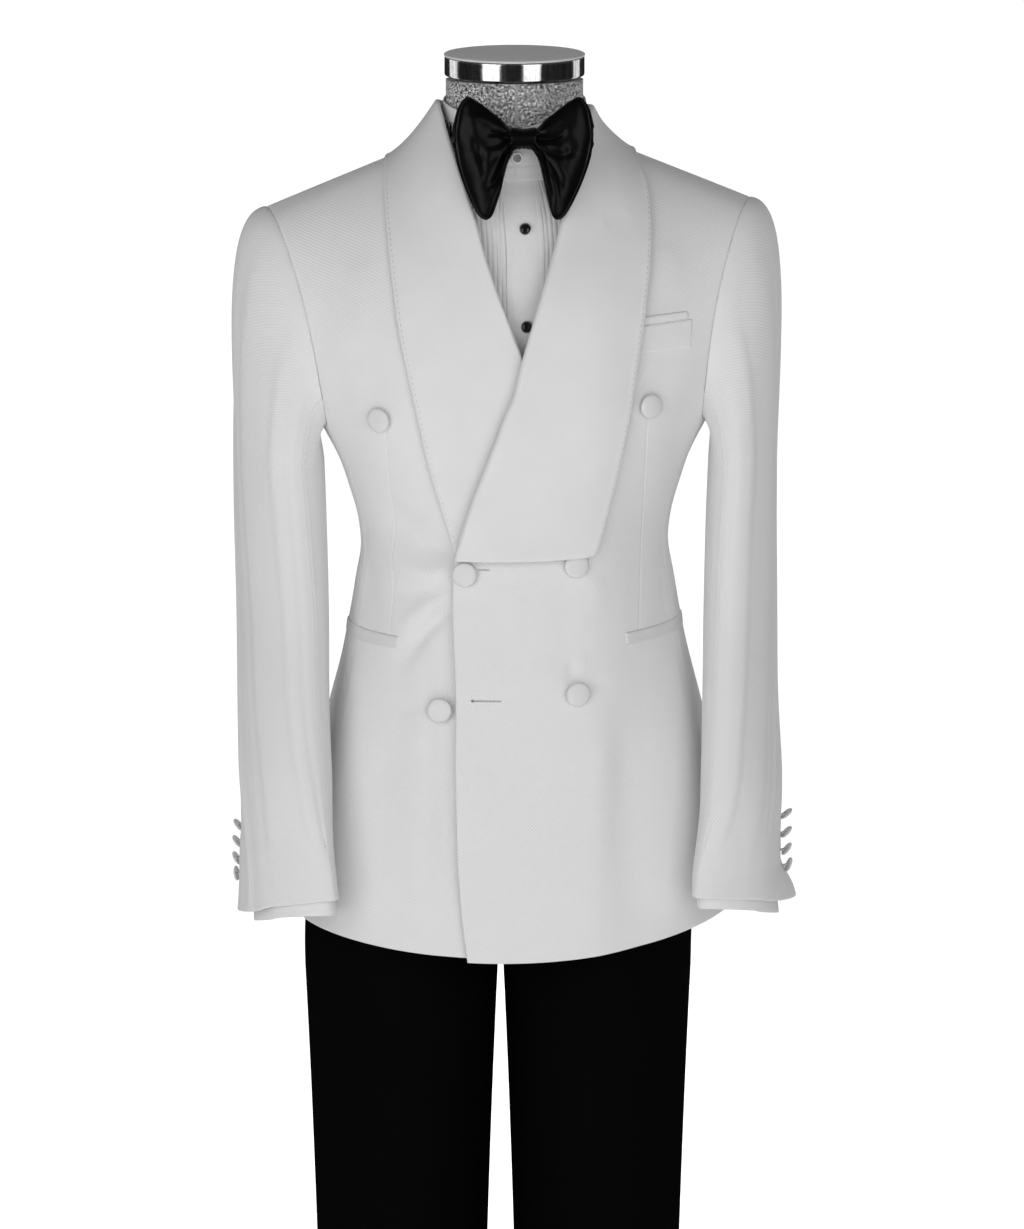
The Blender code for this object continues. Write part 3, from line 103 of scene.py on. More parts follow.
def outward(surface, u, v, core):  # a surface's normals, facing away from its core
    step = 0.002
    across = surface(u + step, v) - surface(u - step, v)
    along = surface(u, v + step) - surface(u, v - step)
    found = unit(np.cross(across, along))
    facing = np.sum(found * (surface(u, v) - core), -1, keepdims=True)
    return np.where(facing < 0, -found, found)


def spaced(low, high, count, length=None, close=(0.0005, 0.0012, 0.0024)):
    # even steps with a few more beside both ends, where the cloth's edge rounds over
    even = np.linspace(0, 1, count)
    if length is not None:
        near = np.array(close) / length
        keep = even[(even > near[-1] * 1.3) & (even < 1 - near[-1] * 1.3)]
        even = np.concatenate([[0.0], near, keep, 1 - near[::-1], [1.0]])
    return mix(low, high, even)


# ---- cloth as a thin shell over a grid of points
def gridNormals(grid, core, closed=False):
    if closed:
        wide = np.concatenate([grid[:, -1:], grid, grid[:, :1]], 1)
        across = (wide[:, 2:] - wide[:, :-2]) / 2
    else:
        across = np.gradient(grid, axis=1)
    found = unit(np.cross(across, np.gradient(grid, axis=0)))
    facing = np.sum(found * (grid - core), -1)
    return (found, True) if facing.sum() >= 0 else (-found, False)


def arcLengths(grid):  # metres across and along from the grid's middle column
    across, middle = runLength(grid, 1), grid.shape[1] // 2
    along = runLength(grid[:, middle])[:, None]
    return across - across[:, middle : middle + 1], np.broadcast_to(along, across.shape)


def edgeDistance(grid, closed=False):  # how far each point lies from the nearest edge of its sheet
    along = runLength(grid)
    found = np.minimum(along, along[-1:] - along)
    if closed:
        return found
    across = runLength(grid, 1)
    return np.minimum(found, np.minimum(across, across[:, -1:] - across))


def fromEdge(grid, reach):  # 0 on a sheet's edges and 1 from reach inwards
    return ease(0.0, reach, edgeDistance(grid))


def creaseField(a, b, rows, strength=1.0):  # soft ridges and, below zero, troughs, each along its own line
    total = np.zeros(np.broadcast(a, b).shape)
    for k in range(len(rows["depth"])):
        fold = {name: values[k] for name, values in rows.items()}
        da, db = fold["toA"] - fold["fromA"], fold["toB"] - fold["fromB"]
        length = math.hypot(da, db)
        t = ((a - fold["fromA"]) * da + (b - fold["fromB"]) * db) / length**2
        inside = np.clip(t, 0, 1)
        off = ((b - fold["fromB"]) * da - (a - fold["fromA"]) * db) / length
        off = off - fold["bow"] * 4 * inside * (1 - inside)
        wide = fold["width"] * mix(0.8, 1.3, inside)
        total += fold["depth"] * ease(-0.12, 0.22, t) * fade(0.55, 1.12, t) * hump(off, wide)
    return total * strength


def addPiece(name, points, faces):  # a smooth mesh as a new object
    mesh = bpy.data.meshes.new(name)
    mesh.from_pydata(points, [], faces)
    mesh.polygons.foreach_set("use_smooth", np.ones(len(mesh.polygons), bool))
    made = bpy.data.objects.new(name, mesh)
    bpy.context.scene.collection.objects.link(made)
    return made


def cornerPoints(mesh):  # the point under each corner of each face
    found = np.empty(len(mesh.loops), int)
    mesh.loops.foreach_get("vertex_index", found)
    return found


def layFlat(mesh, u, v):  # the flat place of each corner, in metres
    flat = np.stack([u, v], -1).astype(np.float32)
    mesh.uv_layers.new(name="cloth").data.foreach_set("uv", flat.ravel())


def shell(name, outer, inner, across, along, turned, closed=False):
    bulge = 0.45  # how far an edge rounds out, as a share of the wall
    rows, cols = outer.shape[:2]
    count = rows * cols
    index = np.arange(count).reshape(rows, cols)
    if closed:
        index = np.concatenate([index, index[:, :1]], 1)
    a, b, c, d = index[:-1, :-1], index[:-1, 1:], index[1:, 1:], index[1:, :-1]
    quads = np.stack([a, b, c, d], -1).reshape(-1, 4)
    if not turned:
        quads = quads[:, ::-1]
    middle = (outer + inner) / 2
    wall = np.linalg.norm(outer - inner, axis=-1, keepdims=True)
    down = unit(middle[0] - middle[1]) * wall[0] * bulge
    up = unit(middle[-1] - middle[-2]) * wall[-1] * bulge
    rims = []  # each a ring or a loop of (grid index, its place half way through the wall)
    if closed:
        rims.append((index[0, :-1], middle[0] + down))
        rims.append((index[-1, :-1][::-1], (middle[-1] + up)[::-1]))
    else:
        first = unit(middle[:, 0] - middle[:, 1]) * wall[:, 0] * bulge
        last = unit(middle[:, -1] - middle[:, -2]) * wall[:, -1] * bulge
        push = np.zeros_like(middle)
        push[0] += down
        push[-1] += up
        push[:, 0] += first
        push[:, -1] += last
        order = np.concatenate([index[0, :-1], index[:-1, -1], index[-1, :0:-1], index[:0:-1, 0]])
        rims.append((order, (middle + push).reshape(-1, 3)[order]))
    points = [outer.reshape(-1, 3), inner.reshape(-1, 3)]
    faces = [quads, quads[:, ::-1] + count]
    across, along = np.broadcast_to(across, (rows, cols)), np.broadcast_to(along, (rows, cols))
    placesU, placesV = [across.reshape(-1)] * 2, [along.reshape(-1)] * 2
    start = 2 * count
    for order, places in rims:
        ring = start + np.arange(len(order))
        now, after = order, np.roll(order, -1)
        ringNow, ringAfter = ring, np.roll(ring, -1)
        high = np.stack([after, now, ringNow, ringAfter], -1)
        low = np.stack([ringAfter, ringNow, now + count, after + count], -1)
        both = np.concatenate([high, low])
        faces.append(both if turned else both[:, ::-1])
        points.append(places)
        placesU.append(across.reshape(-1)[order])
        placesV.append(along.reshape(-1)[order])
        start += len(order)
    made = addPiece(name, np.concatenate(points).tolist(), np.concatenate(faces).tolist())
    corner = cornerPoints(made.data)
    layFlat(made.data, np.concatenate(placesU)[corner], np.concatenate(placesV)[corner])
    return made


def dress(piece, finish, slot, *nodes):  # gives a piece its finish, sets it under the root and hides the nodes it stands for; slot is not used
    piece.data.materials.clear()
    piece.data.materials.append(finish.material)
    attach(piece, "root")
    if nodes:
        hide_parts(*nodes)
    return piece


def cloth(name, grid, core, thickness, lift=None, relief=None, closed=False, soften=0.0005):
    # lift moves the whole cloth, relief its outer face alone; soften rounds the outer face's edges
    normals, turned = gridNormals(grid, core, closed)
    if lift is not None:
        grid = grid + normals * lift[..., None]
        normals, turned = gridNormals(grid, core, closed)
    outside = np.full(grid.shape[:2], thickness)
    if relief is not None:
        outside = outside + relief
    near = np.clip(edgeDistance(grid, closed) / 0.0026, 0, 1)
    outside = outside - soften * (1 - near) ** 2
    across, along = arcLengths(grid)
    return shell(name, grid + normals * outside[..., None], grid, across, along, turned, closed)


def declare(cut):
    width, length, share = cut  # the flat piece, and the share of its rectangle that is cloth
    width * length * share


# ---- materials: one small class for shader arithmetic, one for making nodes
class Wire:
    def __init__(self, finish, socket):
        self.finish = finish
        self.socket = socket

    def maths(self, operation, *values):
        made = self.finish.tree.nodes.new("ShaderNodeMath")
        made.operation = operation
        for slot, value in zip(made.inputs, values):
            if isinstance(value, Wire):
                self.finish.tree.links.new(value.socket, slot)
            else:
                slot.default_value = value
        return Wire(self.finish, made.outputs[0])

    def __add__(self, other):
        return self.maths("ADD", self, other)

    def __radd__(self, other):
        return self.maths("ADD", other, self)

    def __sub__(self, other):
        return self.maths("SUBTRACT", self, other)

    def __rsub__(self, other):
        return self.maths("SUBTRACT", other, self)

    def __mul__(self, other):
        return self.maths("MULTIPLY", self, other)

    def __rmul__(self, other):
        return self.maths("MULTIPLY", other, self)

    def __pow__(self, other):
        return self.maths("POWER", self, other)

    def sine(self):
        return self.maths("SINE", self)

    def between(self, low, high):  # 0 at low and 1 at high, held outside
        sockets = {"Value": self, "From Min": low, "From Max": high}
        return self.finish.node("MapRange", {"clamp": True}, sockets)


class Finish:
    def __init__(self, name, **fixed):
        self.material = bpy.data.materials.new(name)
        self.material.use_nodes = True
        self.tree = self.material.node_tree
        self.shader = self.tree.nodes["Principled BSDF"]
        for socket, value in fixed.items():
            self.shader.inputs[socket.replace("_", " ")].default_value = value

    def node(self, kind, settings=None, sockets=None, output=0):
        made = self.tree.nodes.new("ShaderNode" + kind)
        for key, value in (settings or {}).items():
            setattr(made, key, value)
        for key, value in (sockets or {}).items():
            if isinstance(value, Wire):
                self.tree.links.new(value.socket, made.inputs[key])
            else:
                made.inputs[key].default_value = value
        return Wire(self, made.outputs[output])

    def place(self, output=2):  # 2 is the cloth's own UV map, in metres; 3 is Object coordinates
        return self.node("TexCoord", output=output)

    def parts(self, where):  # the three numbers of a place
        split = self.node("SeparateXYZ", sockets={"Vector": where}).socket.node
        return [Wire(self, socket) for socket in split.outputs]

    def stretched(self, where, x, y, z=1.0):  # the same place with each way scaled
        return self.node("Mapping", sockets={"Vector": where, "Scale": (x, y, z)})

    def noise(self, where, scale, detail=2.0, roughness=0.5):
        sockets = {"Vector": where, "Scale": scale, "Detail": detail, "Roughness": roughness}
        return self.node("TexNoise", sockets=sockets)

    def blend(self, low, high, share):  # between two colours, each given as numbers or as a wire
        low, high = (shade if isinstance(shade, Wire) else (*shade, 1) for shade in (low, high))
        return self.node("Mix", {"data_type": "RGBA"}, {0: share, 6: low, 7: high}, output=2)

    def feed(self, name, wire):  # into a socket of the shader
        self.tree.links.new(wire.socket, self.shader.inputs[name])

    def finishWith(self, colour, roughness, height, strength, distance):
        self.feed("Base Color", colour)
        self.feed("Roughness", roughness)
        sockets = {"Height": height, "Strength": strength, "Distance": distance}
        self.feed("Normal", self.node("Bump", sockets=sockets))
        return self


woolCloth = {"light": (0.815, 0.815, 0.82), "dark": (0.685, 0.685, 0.69), "pitch": 0.0033, "bump": 0.35}


def makeWool(name, values, roughness=0.85, sheen=0.04, shine=0.2):
    finish = Finish(
        name, Roughness=roughness, Sheen_Weight=sheen, Sheen_Roughness=0.5, Specular_IOR_Level=shine,
    )
    where = finish.place()
    u, v, _ = finish.parts(where)
    wander = finish.noise(where, 260.0) - 0.5
    turn = 2 * math.pi / values["pitch"]
    one = ((u + v) * turn + wander * 1.6).sine()
    two = ((u - v) * turn - wander * 1.6).sine()
    weave = (one + two) * 0.25 + 0.5  # little diamonds where the two diagonals cross
    patchy = finish.noise(where, 900.0, 2.0)
    cloudy = finish.noise(where, 14.0, 2.0)
    share = weave * 0.75 + patchy * 0.3 + cloudy * 0.15
    colour = finish.blend(values["dark"], values["light"], share.between(0.1, 0.9))
    rough = patchy * 0.12 + (roughness - 0.06)
    return finish.finishWith(colour, rough, weave + patchy * 0.25, values["bump"], 0.0004)


satinCloth = {"light": (0.79, 0.79, 0.795), "dark": (0.74, 0.74, 0.745), "roughness": 0.52}


def makeSatin(name, values, sheen=0.06, coat=0.0, bump=0.25, shine=0.35):
    finish = Finish(
        name, Sheen_Weight=sheen, Sheen_Roughness=0.35, Specular_IOR_Level=shine, Coat_Weight=coat,
        Coat_Roughness=0.35, Anisotropic=0.35,
    )
    where = finish.place()
    floats = finish.noise(finish.stretched(where, 700.0, 2600.0), 1.0, 2.0)
    cloudy = finish.noise(where, 22.0, 3.0)
    share = floats * 0.45 + cloudy * 0.55
    colour = finish.blend(values["dark"], values["light"], share.between(0.3, 0.7))
    rough = floats * 0.1 + cloudy * 0.08 + (values["roughness"] - 0.09)
    return finish.finishWith(colour, rough, floats + cloudy * 0.5, bump, 0.0002)


cottonCloth = {"light": (0.825, 0.825, 0.83), "dark": (0.72, 0.72, 0.725), "pitch": 0.0007}


def makeCotton(name, values):
    finish = Finish(name, Roughness=0.8, Sheen_Weight=0.1, Specular_IOR_Level=0.3)
    where = finish.place()
    u, v, _ = finish.parts(where)
    turn = 2 * math.pi / values["pitch"]
    weave = ((u * turn).sine() * (v * turn).sine()) * 0.5 + 0.5
    slubs = finish.noise(finish.stretched(where, 900.0, 160.0), 1.0, 2.0)
    cloudy = finish.noise(where, 18.0, 2.0)
    share = weave * 0.3 + slubs * 0.4 + cloudy * 0.3
    colour = finish.blend(values["dark"], values["light"], share.between(0.25, 0.72))
    return finish.finishWith(colour, slubs * 0.15 + 0.72, weave * 0.5 + slubs, 0.3, 0.0003)


heatherCloth = {"light": (0.92, 0.92, 0.92), "dark": (0.003, 0.003, 0.004), "thread": 0.0013}


def makeHeather(name, values):
    finish = Finish(name, Roughness=0.9, Sheen_Weight=0.2, Specular_IOR_Level=0.2)
    where = finish.place()
    u, v, _ = finish.parts(where)
    size = 1 / values["thread"]
    upright = finish.noise(finish.stretched(where, size, size * 0.42), 1.0, 3.0, 0.7)
    level = finish.noise(finish.stretched(where, size * 0.42, size), 1.0, 3.0, 0.7)
    turn = 2 * math.pi / (values["thread"] * 1.7)
    weave = (u * turn).sine() * (v * turn).sine()
    slubs = finish.noise(finish.stretched(where, 60.0, 420.0), 1.0, 2.0)
    share = upright * 0.5 + level * 0.5 + weave * 0.07 + slubs * 0.1
    colour = finish.blend(values["dark"], values["light"], share.between(0.545, 0.585))
    return finish.finishWith(colour, upright * 0.1 + 0.82, share, 0.6, 0.0006)


def makeChrome(name):
    finish = Finish(name, Metallic=1.0, Specular_IOR_Level=0.5)
    where = finish.place(3)
    streak = finish.noise(finish.stretched(where, 420.0, 420.0, 14.0), 1.0, 3.0, 0.7)
    wear = finish.noise(where, 240.0, 3.0)
    share = streak * 0.7 + wear * 0.3
    colour = finish.blend((0.55, 0.55, 0.56), (0.95, 0.95, 0.95), share.between(0.38, 0.6))
    return finish.finishWith(colour, streak * 0.16 + wear * 0.04 + 0.01, streak, 0.05, 0.0001)


def makeSteel(name):
    finish = Finish(name, Metallic=1.0)
    where = finish.place(3)
    x, y, z = finish.parts(where)
    radius = (x * x + y * y) ** 0.5
    rings = finish.node("CombineXYZ", sockets={"X": radius * 900.0, "Y": z * 40.0})
    turned = finish.noise(rings, 1.0, 3.0)
    wear = finish.noise(where, 30.0, 4.0)
    share = turned * 0.6 + wear * 0.4
    colour = finish.blend((0.42, 0.42, 0.43), (0.62, 0.62, 0.63), share.between(0.3, 0.7))
    return finish.finishWith(colour, turned * 0.12 + wear * 0.12 + 0.2, turned, 0.12, 0.0002)


def makePlain(name, low, high, roughness, grain=500.0, bump=0.12, **fixed):
    finish = Finish(name, **fixed)
    where = finish.place(3)
    fine = finish.noise(where, grain, 3.0)
    cloudy = finish.noise(where, 25.0, 2.0)
    colour = finish.blend(low, high, (fine * 0.5 + cloudy * 0.5).between(0.3, 0.7))
    return finish.finishWith(colour, fine * 0.1 + (roughness - 0.05), fine, bump, 0.0002)


whiteWool = makeWool("white barathea", woolCloth)
whiteSatin = makeSatin("white satin", satinCloth)
# a darker copy of the white satin, for the buttons
buttonSatin = makeSatin(
    "button satin", {"light": (0.765, 0.765, 0.77), "dark": (0.7, 0.7, 0.705), "roughness": 0.46},
)
# a darker copy of the white wool, for the hip welts
weltWool = makeWool(
    "white barathea, darker tone",
    {**woolCloth, "light": (0.735, 0.735, 0.74), "dark": (0.62, 0.62, 0.625)},
)
blackWool = makeWool(
    "black barathea",
    {"light": (0.003, 0.003, 0.0032), "dark": (0.0008, 0.0008, 0.0009), "pitch": 0.0018, "bump": 0.25},
    roughness=0.9, sheen=0.0, shine=0.02,
)
blackSatin = makeSatin(
    "black satin", {"light": (0.0034, 0.0034, 0.0038), "dark": (0.0014, 0.0014, 0.0016), "roughness": 0.3},
    sheen=0.0, coat=0.0, bump=0.1, shine=0.16,
)
shirtCotton = makeCotton("shirt cotton", cottonCloth)
formCloth = makeHeather("heather cloth", heatherCloth)
chromeMetal = makeChrome("polished chrome")
standSteel = makeSteel("brushed steel")
capPlastic = makePlain("matte grey cap", (0.76, 0.76, 0.765), (0.81, 0.81, 0.815), 0.6, bump=0.05)
studBlack = makePlain(
    "black enamel", (0.004, 0.004, 0.004), (0.009, 0.009, 0.01), 0.14, bump=0.02, Coat_Weight=0.6,
)
studSilver = makePlain("silver rim", (0.62, 0.62, 0.62), (0.8, 0.8, 0.8), 0.22, Metallic=1.0)
whiteThread = makePlain("white thread", (0.42, 0.42, 0.425), (0.62, 0.62, 0.625), 0.75, 1500.0, 0.4)
# real stitches, their mid grey partly painted shade of their small dimples on the white satin
stitchShadeSilk = makePlain("stitching silk, shade grey", (0.3, 0.3, 0.305), (0.45, 0.45, 0.455), 0.6, 1500.0, 0.3)
# dark grey thread that paints the shade of the buttonholes' slits and keyholes
buttonholeShadeThread = makePlain("buttonhole shade thread", (0.2, 0.2, 0.205), (0.33, 0.33, 0.335), 0.8, 1500.0, 0.4)
print("finishes made")


# ---- the jacket's body: rings up to the armpit, then a yoke up to the shoulder seam
jacketBody = {
    "cloth": 0.0016, "armpitZ": 1.28, "neckTopZ": 1.575, "chestFront": 0.125, "chestBack": 0.106,
    "hangTilt": 0.02, "hangShift": -0.006, "power": 2.3, "sideSeam": 0.8, "overlapLift": 0.0062,
    "hemCentre": {left: 0.7728, right: 0.7765}, "hemRise": {left: 0.031, right: 0.0262}, "hemBack": 0.79,
    "seamGap": 0.0001, "overlapX": (0.068, 0.125), "overlapZ": (1.385, 1.47), "coreZ": (0.78, 1.28, 1.4),
    "yokeSteep": {"front": 2.1, "back": 3.4}, "yokeTurn": 1.15, "yokeFlat": 0.78, "ridgeY": 0.004,
}
jacketRings = millimetres("z halfWidth front back", [
    (760, 213, 139, 128), (800, 211, 138, 129), (860, 205, 136, 128), (920, 195, 133, 124),
    (970, 184, 130, 117), (1012, 173.5, 127, 109), (1041, 167.2, 125, 103), (1070, 161.6, 122, 98),
    (1099, 156, 120, 94), (1128, 150.8, 118, 91), (1158, 147.2, 117, 89), (1187, 149.4, 118, 90),
    (1216, 157.4, 120, 94), (1245, 167.4, 123, 99), (1280, 185.5, 125, 106),
])
armhole = table("share x front back z", [
    (0.0, 0.1776, 0.0447, 0.0379, 1.28), (0.2, 0.181, 0.062, 0.054, 1.312),
    (0.4, 0.187, 0.069, 0.064, 1.354), (0.6, 0.196, 0.065, 0.064, 1.4),
    (0.8, 0.2095, 0.048, 0.05, 1.447), (0.92, 0.2205, 0.026, 0.028, 1.474),
    (1.0, 0.229, 0.0, 0.0, 1.485),
])
shoulderX = 0.229
rollRows = {
    left: [
        (1157, -54.6), (1211, -40), (1254, -24.8), (1305, -7.5), (1352, 7), (1407, 23.6), (1446, 35),
        (1487, 47), (1512, 56), (1533, 65.5), (1547, 73.5),
    ],
    right: [
        (1157, -58), (1200, -57.5), (1280, -32), (1361, -4.5), (1402, 12), (1438, 24.8), (1474, 35.7),
        (1497, 45.5), (1512, 53), (1533, 65), (1547, 73.5),
    ],
}
edgeRows = {  # the front's edge below its roll line
    left: [
        (760, -42), (775, -44), (812, -48.6), (863, -52.5), (965, -54.6), (1022, -54), (1100, -56.5),
    ],
    right: [(760, -56), (1157, -58)],
}
rollLine = {side: millimetres("z x", rows) for side, rows in rollRows.items()}
frontEdge = {
    side: millimetres("z x", rows + [row for row in rollRows[side] if row[0] > rows[-1][0]])
    for side, rows in edgeRows.items()
}
lapelEdge = {
    left: millimetres("z x", [
        (1157, 69), (1175, 75.5), (1210, 85.8), (1247, 95.5), (1290, 105.5), (1333, 112.5),
        (1376, 119.2), (1413, 123.8), (1451, 127), (1479, 127), (1503, 124.5), (1531, 114),
    ]),
    right: millimetres("z x", [
        (1157, 53), (1171, 57.5), (1210, 69), (1250, 80.5), (1300, 91.7), (1333, 99), (1370, 107),
        (1414, 113), (1456, 118), (1487, 121), (1510, 122.5), (1531, 122.5),
    ]),
}

def quarter(g, power=jacketBody["power"]):  # shares of width and depth round a quarter ring, centre to side
    angle = np.abs(g) * np.pi / 2
    return np.clip(np.sin(angle), 0, None) ** (2 / power), np.clip(np.cos(angle), 0, None) ** (2 / power)


def hemHeight(side, g):
    turn = np.abs(g)
    isLeft = np.asarray(side) > 0
    centre = np.where(isLeft, jacketBody["hemCentre"][left], jacketBody["hemCentre"][right])
    rise = np.where(isLeft, jacketBody["hemRise"][left], jacketBody["hemRise"][right])
    width = quarter(np.minimum(turn, 2 - turn))[0]
    back = jacketBody["hemBack"]
    return np.where(turn <= 1, centre + rise * width**2, back + (centre + rise - back) * width**2)


def yokePoint(side, behind, wide, share):
    reach = quarter(jacketBody["sideSeam"])[0]
    power = jacketBody["power"]
    q = np.minimum(1.0, wide / reach)
    face = np.where(behind, 1, -1)
    edgeY = face * np.where(behind, column(armhole, "back", share), column(armhole, "front", share))
    steep = np.where(behind, jacketBody["yokeSteep"]["back"], jacketBody["yokeSteep"]["front"])
    angle = np.pi / 2 * share ** jacketBody["yokeTurn"]
    chest = np.where(behind, jacketBody["chestBack"], jacketBody["chestFront"])
    centreY = mix(face * chest, jacketBody["ridgeY"], 1 - np.clip(np.cos(angle), 0, None) ** (2 / steep))
    centreZ = mix(jacketBody["armpitZ"], jacketBody["neckTopZ"], np.sin(angle) ** (2 / steep))
    flatter = mix(reach, jacketBody["yokeFlat"], ease(0, 1, share))
    bend = (1 - (flatter * q) ** power) ** (1 / power)
    bendEdge = (1 - flatter**power) ** (1 / power)
    y = mix(edgeY, centreY, (bend - bendEdge) / (1 - bendEdge))
    z = mix(centreZ, column(armhole, "z", share), q ** (2 - share))
    return point(q * (side * column(armhole, "x", share) + jacketBody["hangShift"] * share), y, z)


def jacketPoint(g, v, hemSide=None):
    # |g| is 0 at the centre front, 1 at the side and 2 at the centre back; v is 0 at the hem,
    # 1 at the armpit and 2 at the shoulder seam
    g, v = np.broadcast_arrays(np.asarray(g, float), np.asarray(v, float))
    side = np.where(g >= 0, left, right)
    turn = np.abs(g)
    behind = turn > 1
    wide, deep = quarter(np.where(behind, 2 - turn, turn))
    z = mix(hemHeight(side if hemSide is None else hemSide, turn), jacketBody["armpitZ"], np.minimum(v, 1))
    depth = np.where(behind, column(jacketRings, "back", z), -column(jacketRings, "front", z))
    low = point(side * wide * column(jacketRings, "halfWidth", z), deep * depth, z)
    high = yokePoint(side, behind, wide, np.clip(v, 1, 2) - 1)
    found = np.where((v <= 1)[..., None], low, high)
    found[..., 2] += jacketBody["hangTilt"] * found[..., 0]
    return found


def jacketCore(v):  # a point well inside the jacket at v
    v = np.asarray(v, float)
    low, armpit, high = jacketBody["coreZ"]
    return point(0.0, 0.0, np.where(v <= 1, mix(low, armpit, v), mix(armpit, high, v - 1)))


def frontOutward(side, g, v, top=2.0):  # which way a front faces at g and v, read no higher than top
    def surface(a, b):
        return jacketPoint(side * a, b, side)

    return outward(surface, g, np.minimum(v, top), jacketCore(v))


def search(low, high, isLow, rounds=30):  # the value where isLow turns false, for each row at once
    for _ in range(rounds):
        middle = (low + high) / 2
        below = isLow(middle)
        low, high = np.where(below, middle, low), np.where(below, high, middle)
    return (low + high) / 2


def gOnLine(line, v, side):  # where each row of a front crosses a line given as x by height
    def isLow(g):
        there = jacketPoint(side * g, v, side)
        return side * there[..., 0] < column(line, "x", there[..., 2])

    seam = jacketBody["sideSeam"]
    return search(np.full(np.shape(v), -seam), np.full(np.shape(v), seam), isLow)


def frontLift(side, where):  # how far the over-front stands off the under-front
    x, z = where[..., 0], where[..., 2]
    lifted = jacketBody["overlapLift"] * fade(*jacketBody["overlapX"], x) * fade(*jacketBody["overlapZ"], z)
    return lifted if side == left else 0 * lifted


def frontSkin(side, lift):
    def skin(g, v):
        base = jacketPoint(side * g, v, side)
        return base + frontOutward(side, g, v) * (frontLift(side, base) + lift)[..., None]

    return skin


def ringSkin(side, lift, top=2.0):
    def skin(g, v):
        base = jacketPoint(side * g, v)
        out = outward(lambda a, b: jacketPoint(side * a, np.minimum(b, top)), g, v, jacketCore(v))
        raised = np.where(np.asarray(g) < 1, frontLift(side, base), 0.0)
        return base + out * (lift + raised)[..., None]

    return skin


def seamStep(skin, g, v, way, gap=jacketBody["seamGap"] / 2):  # how far g moves for half a seam's gap
    g, step = np.broadcast_to(g, np.shape(v)), 0.002
    speed = np.linalg.norm(skin(g + way * step, v) - skin(g, v), axis=-1) / step
    return way * gap / np.maximum(speed, 1e-6)


def bodyRows(low, high=0):  # v from the hem to the armpit in low steps, and on to the shoulder in high
    near = np.array([0.001, 0.0025, 0.0048])
    rows = np.concatenate([[0.0], near, np.linspace(0.0095, 1, low)])
    if not high:
        return np.concatenate([rows[:-1], 1 - near[::-1], [1.0]])
    return np.concatenate([rows, np.linspace(1, 2, high)[1:-1], [1.994, 1.9975, 1.9992]])


jacketFronts = {
    "rows": (122, 58), "columns": (40, 38), "dartDepth": 0.0004, "dartWidth": 0.0007,
    "puffDepth": 0.00003, "puffAt": 0.004, "puffWidth": 0.003,
    "darts": {
        left: millimetres("z x", [(760, 115), (1085, 117.5), (1157, 119), (1290, 124.5), (1600, 130)]),
        right: millimetres("z x", [(760, 119), (1083, 117), (1157, 113), (1277, 120.5), (1600, 128)]),
    },
    "dartSpan": {left: (1.078, 1.292), right: (1.074, 1.28)}, "foldInset": {left: 0.0042, right: 0.0016},
    "cut": (0.32, 0.8, 0.71),
}
foldColumns = "fromA fromB toA toB bow width depth"  # here A runs across in x and B is the height
frontFolds = {
    right: millimetres(foldColumns, [
        (-68, 1120, -66, 770, 2, 11, -3.4), (-90, 1055, -84, 790, -3, 13, 2),
        (-60, 1124, -112, 1081, -4, 6.5, 1.9), (-62, 1112, -102, 1060, -3, 7.5, -1.9),
        (-60, 1137, -128, 1118, 3, 8, -1.7), (-64, 1146, -120, 1146, 3, 7, 1.3),
        (-56, 1158, -124, 1212, 5, 13, -5.8), (-58, 1134, -150, 1176, 4, 12, 3.4),
        (-58, 1110, -110, 1046, -5, 7, -2.9), (-82, 1170, -112, 1232, 5, 11, 1.6),
        (-84, 1014, -106, 1017, 1, 5, -1.4), (-78, 1004, -92, 978, 2, 6, 1),
        (-145, 1150, -132, 1060, 4, 12, -1.6), (-150, 1055, -160, 900, 6, 17, 1.4),
        (-118, 980, -126, 800, -6, 20, -1.8), (-150, 1360, -118, 1300, 4, 14, -1.6),
        (-142, 1440, -136, 1350, -4, 16, 1.6), (-172, 1330, -150, 1240, 5, 12, -1.4),
    ]),
    left: millimetres(foldColumns, [
        (55, 1064, 52.5, 1040, 1, 4.5, -2.2), (62, 1066, 60, 1045, 1, 5, 1.4),
        (72, 1036, 86, 1042, 1, 5, -1.2), (80, 1010, 80, 790, 2, 17, 1.7),
        (104, 1000, 106, 780, -3, 19, -2.1), (45, 1140, 46, 1050, 2, 10, -1),
        (64, 1146, 82, 1110, 3, 8, 1.1), (-30, 1128, -12, 1070, 4, 9, -0.8),
        (-42, 990, -40, 800, 1, 12, 0.9), (148, 1148, 134, 1070, 4, 13, -1.3),
        (156, 1050, 162, 890, -6, 18, 1.5), (150, 1360, 122, 1300, -4, 15, -1.2),
        (172, 1320, 152, 1230, -5, 12, -1.2), (144, 1450, 140, 1400, 3, 15, 1.2),
    ]),
}


def frontCrease(side, x, z, turn):  # a front's creases, easing out before its side seam
    return creaseField(x, z, frontFolds[side], 1.2) * ease(0.0, 0.09, jacketBody["sideSeam"] - turn)


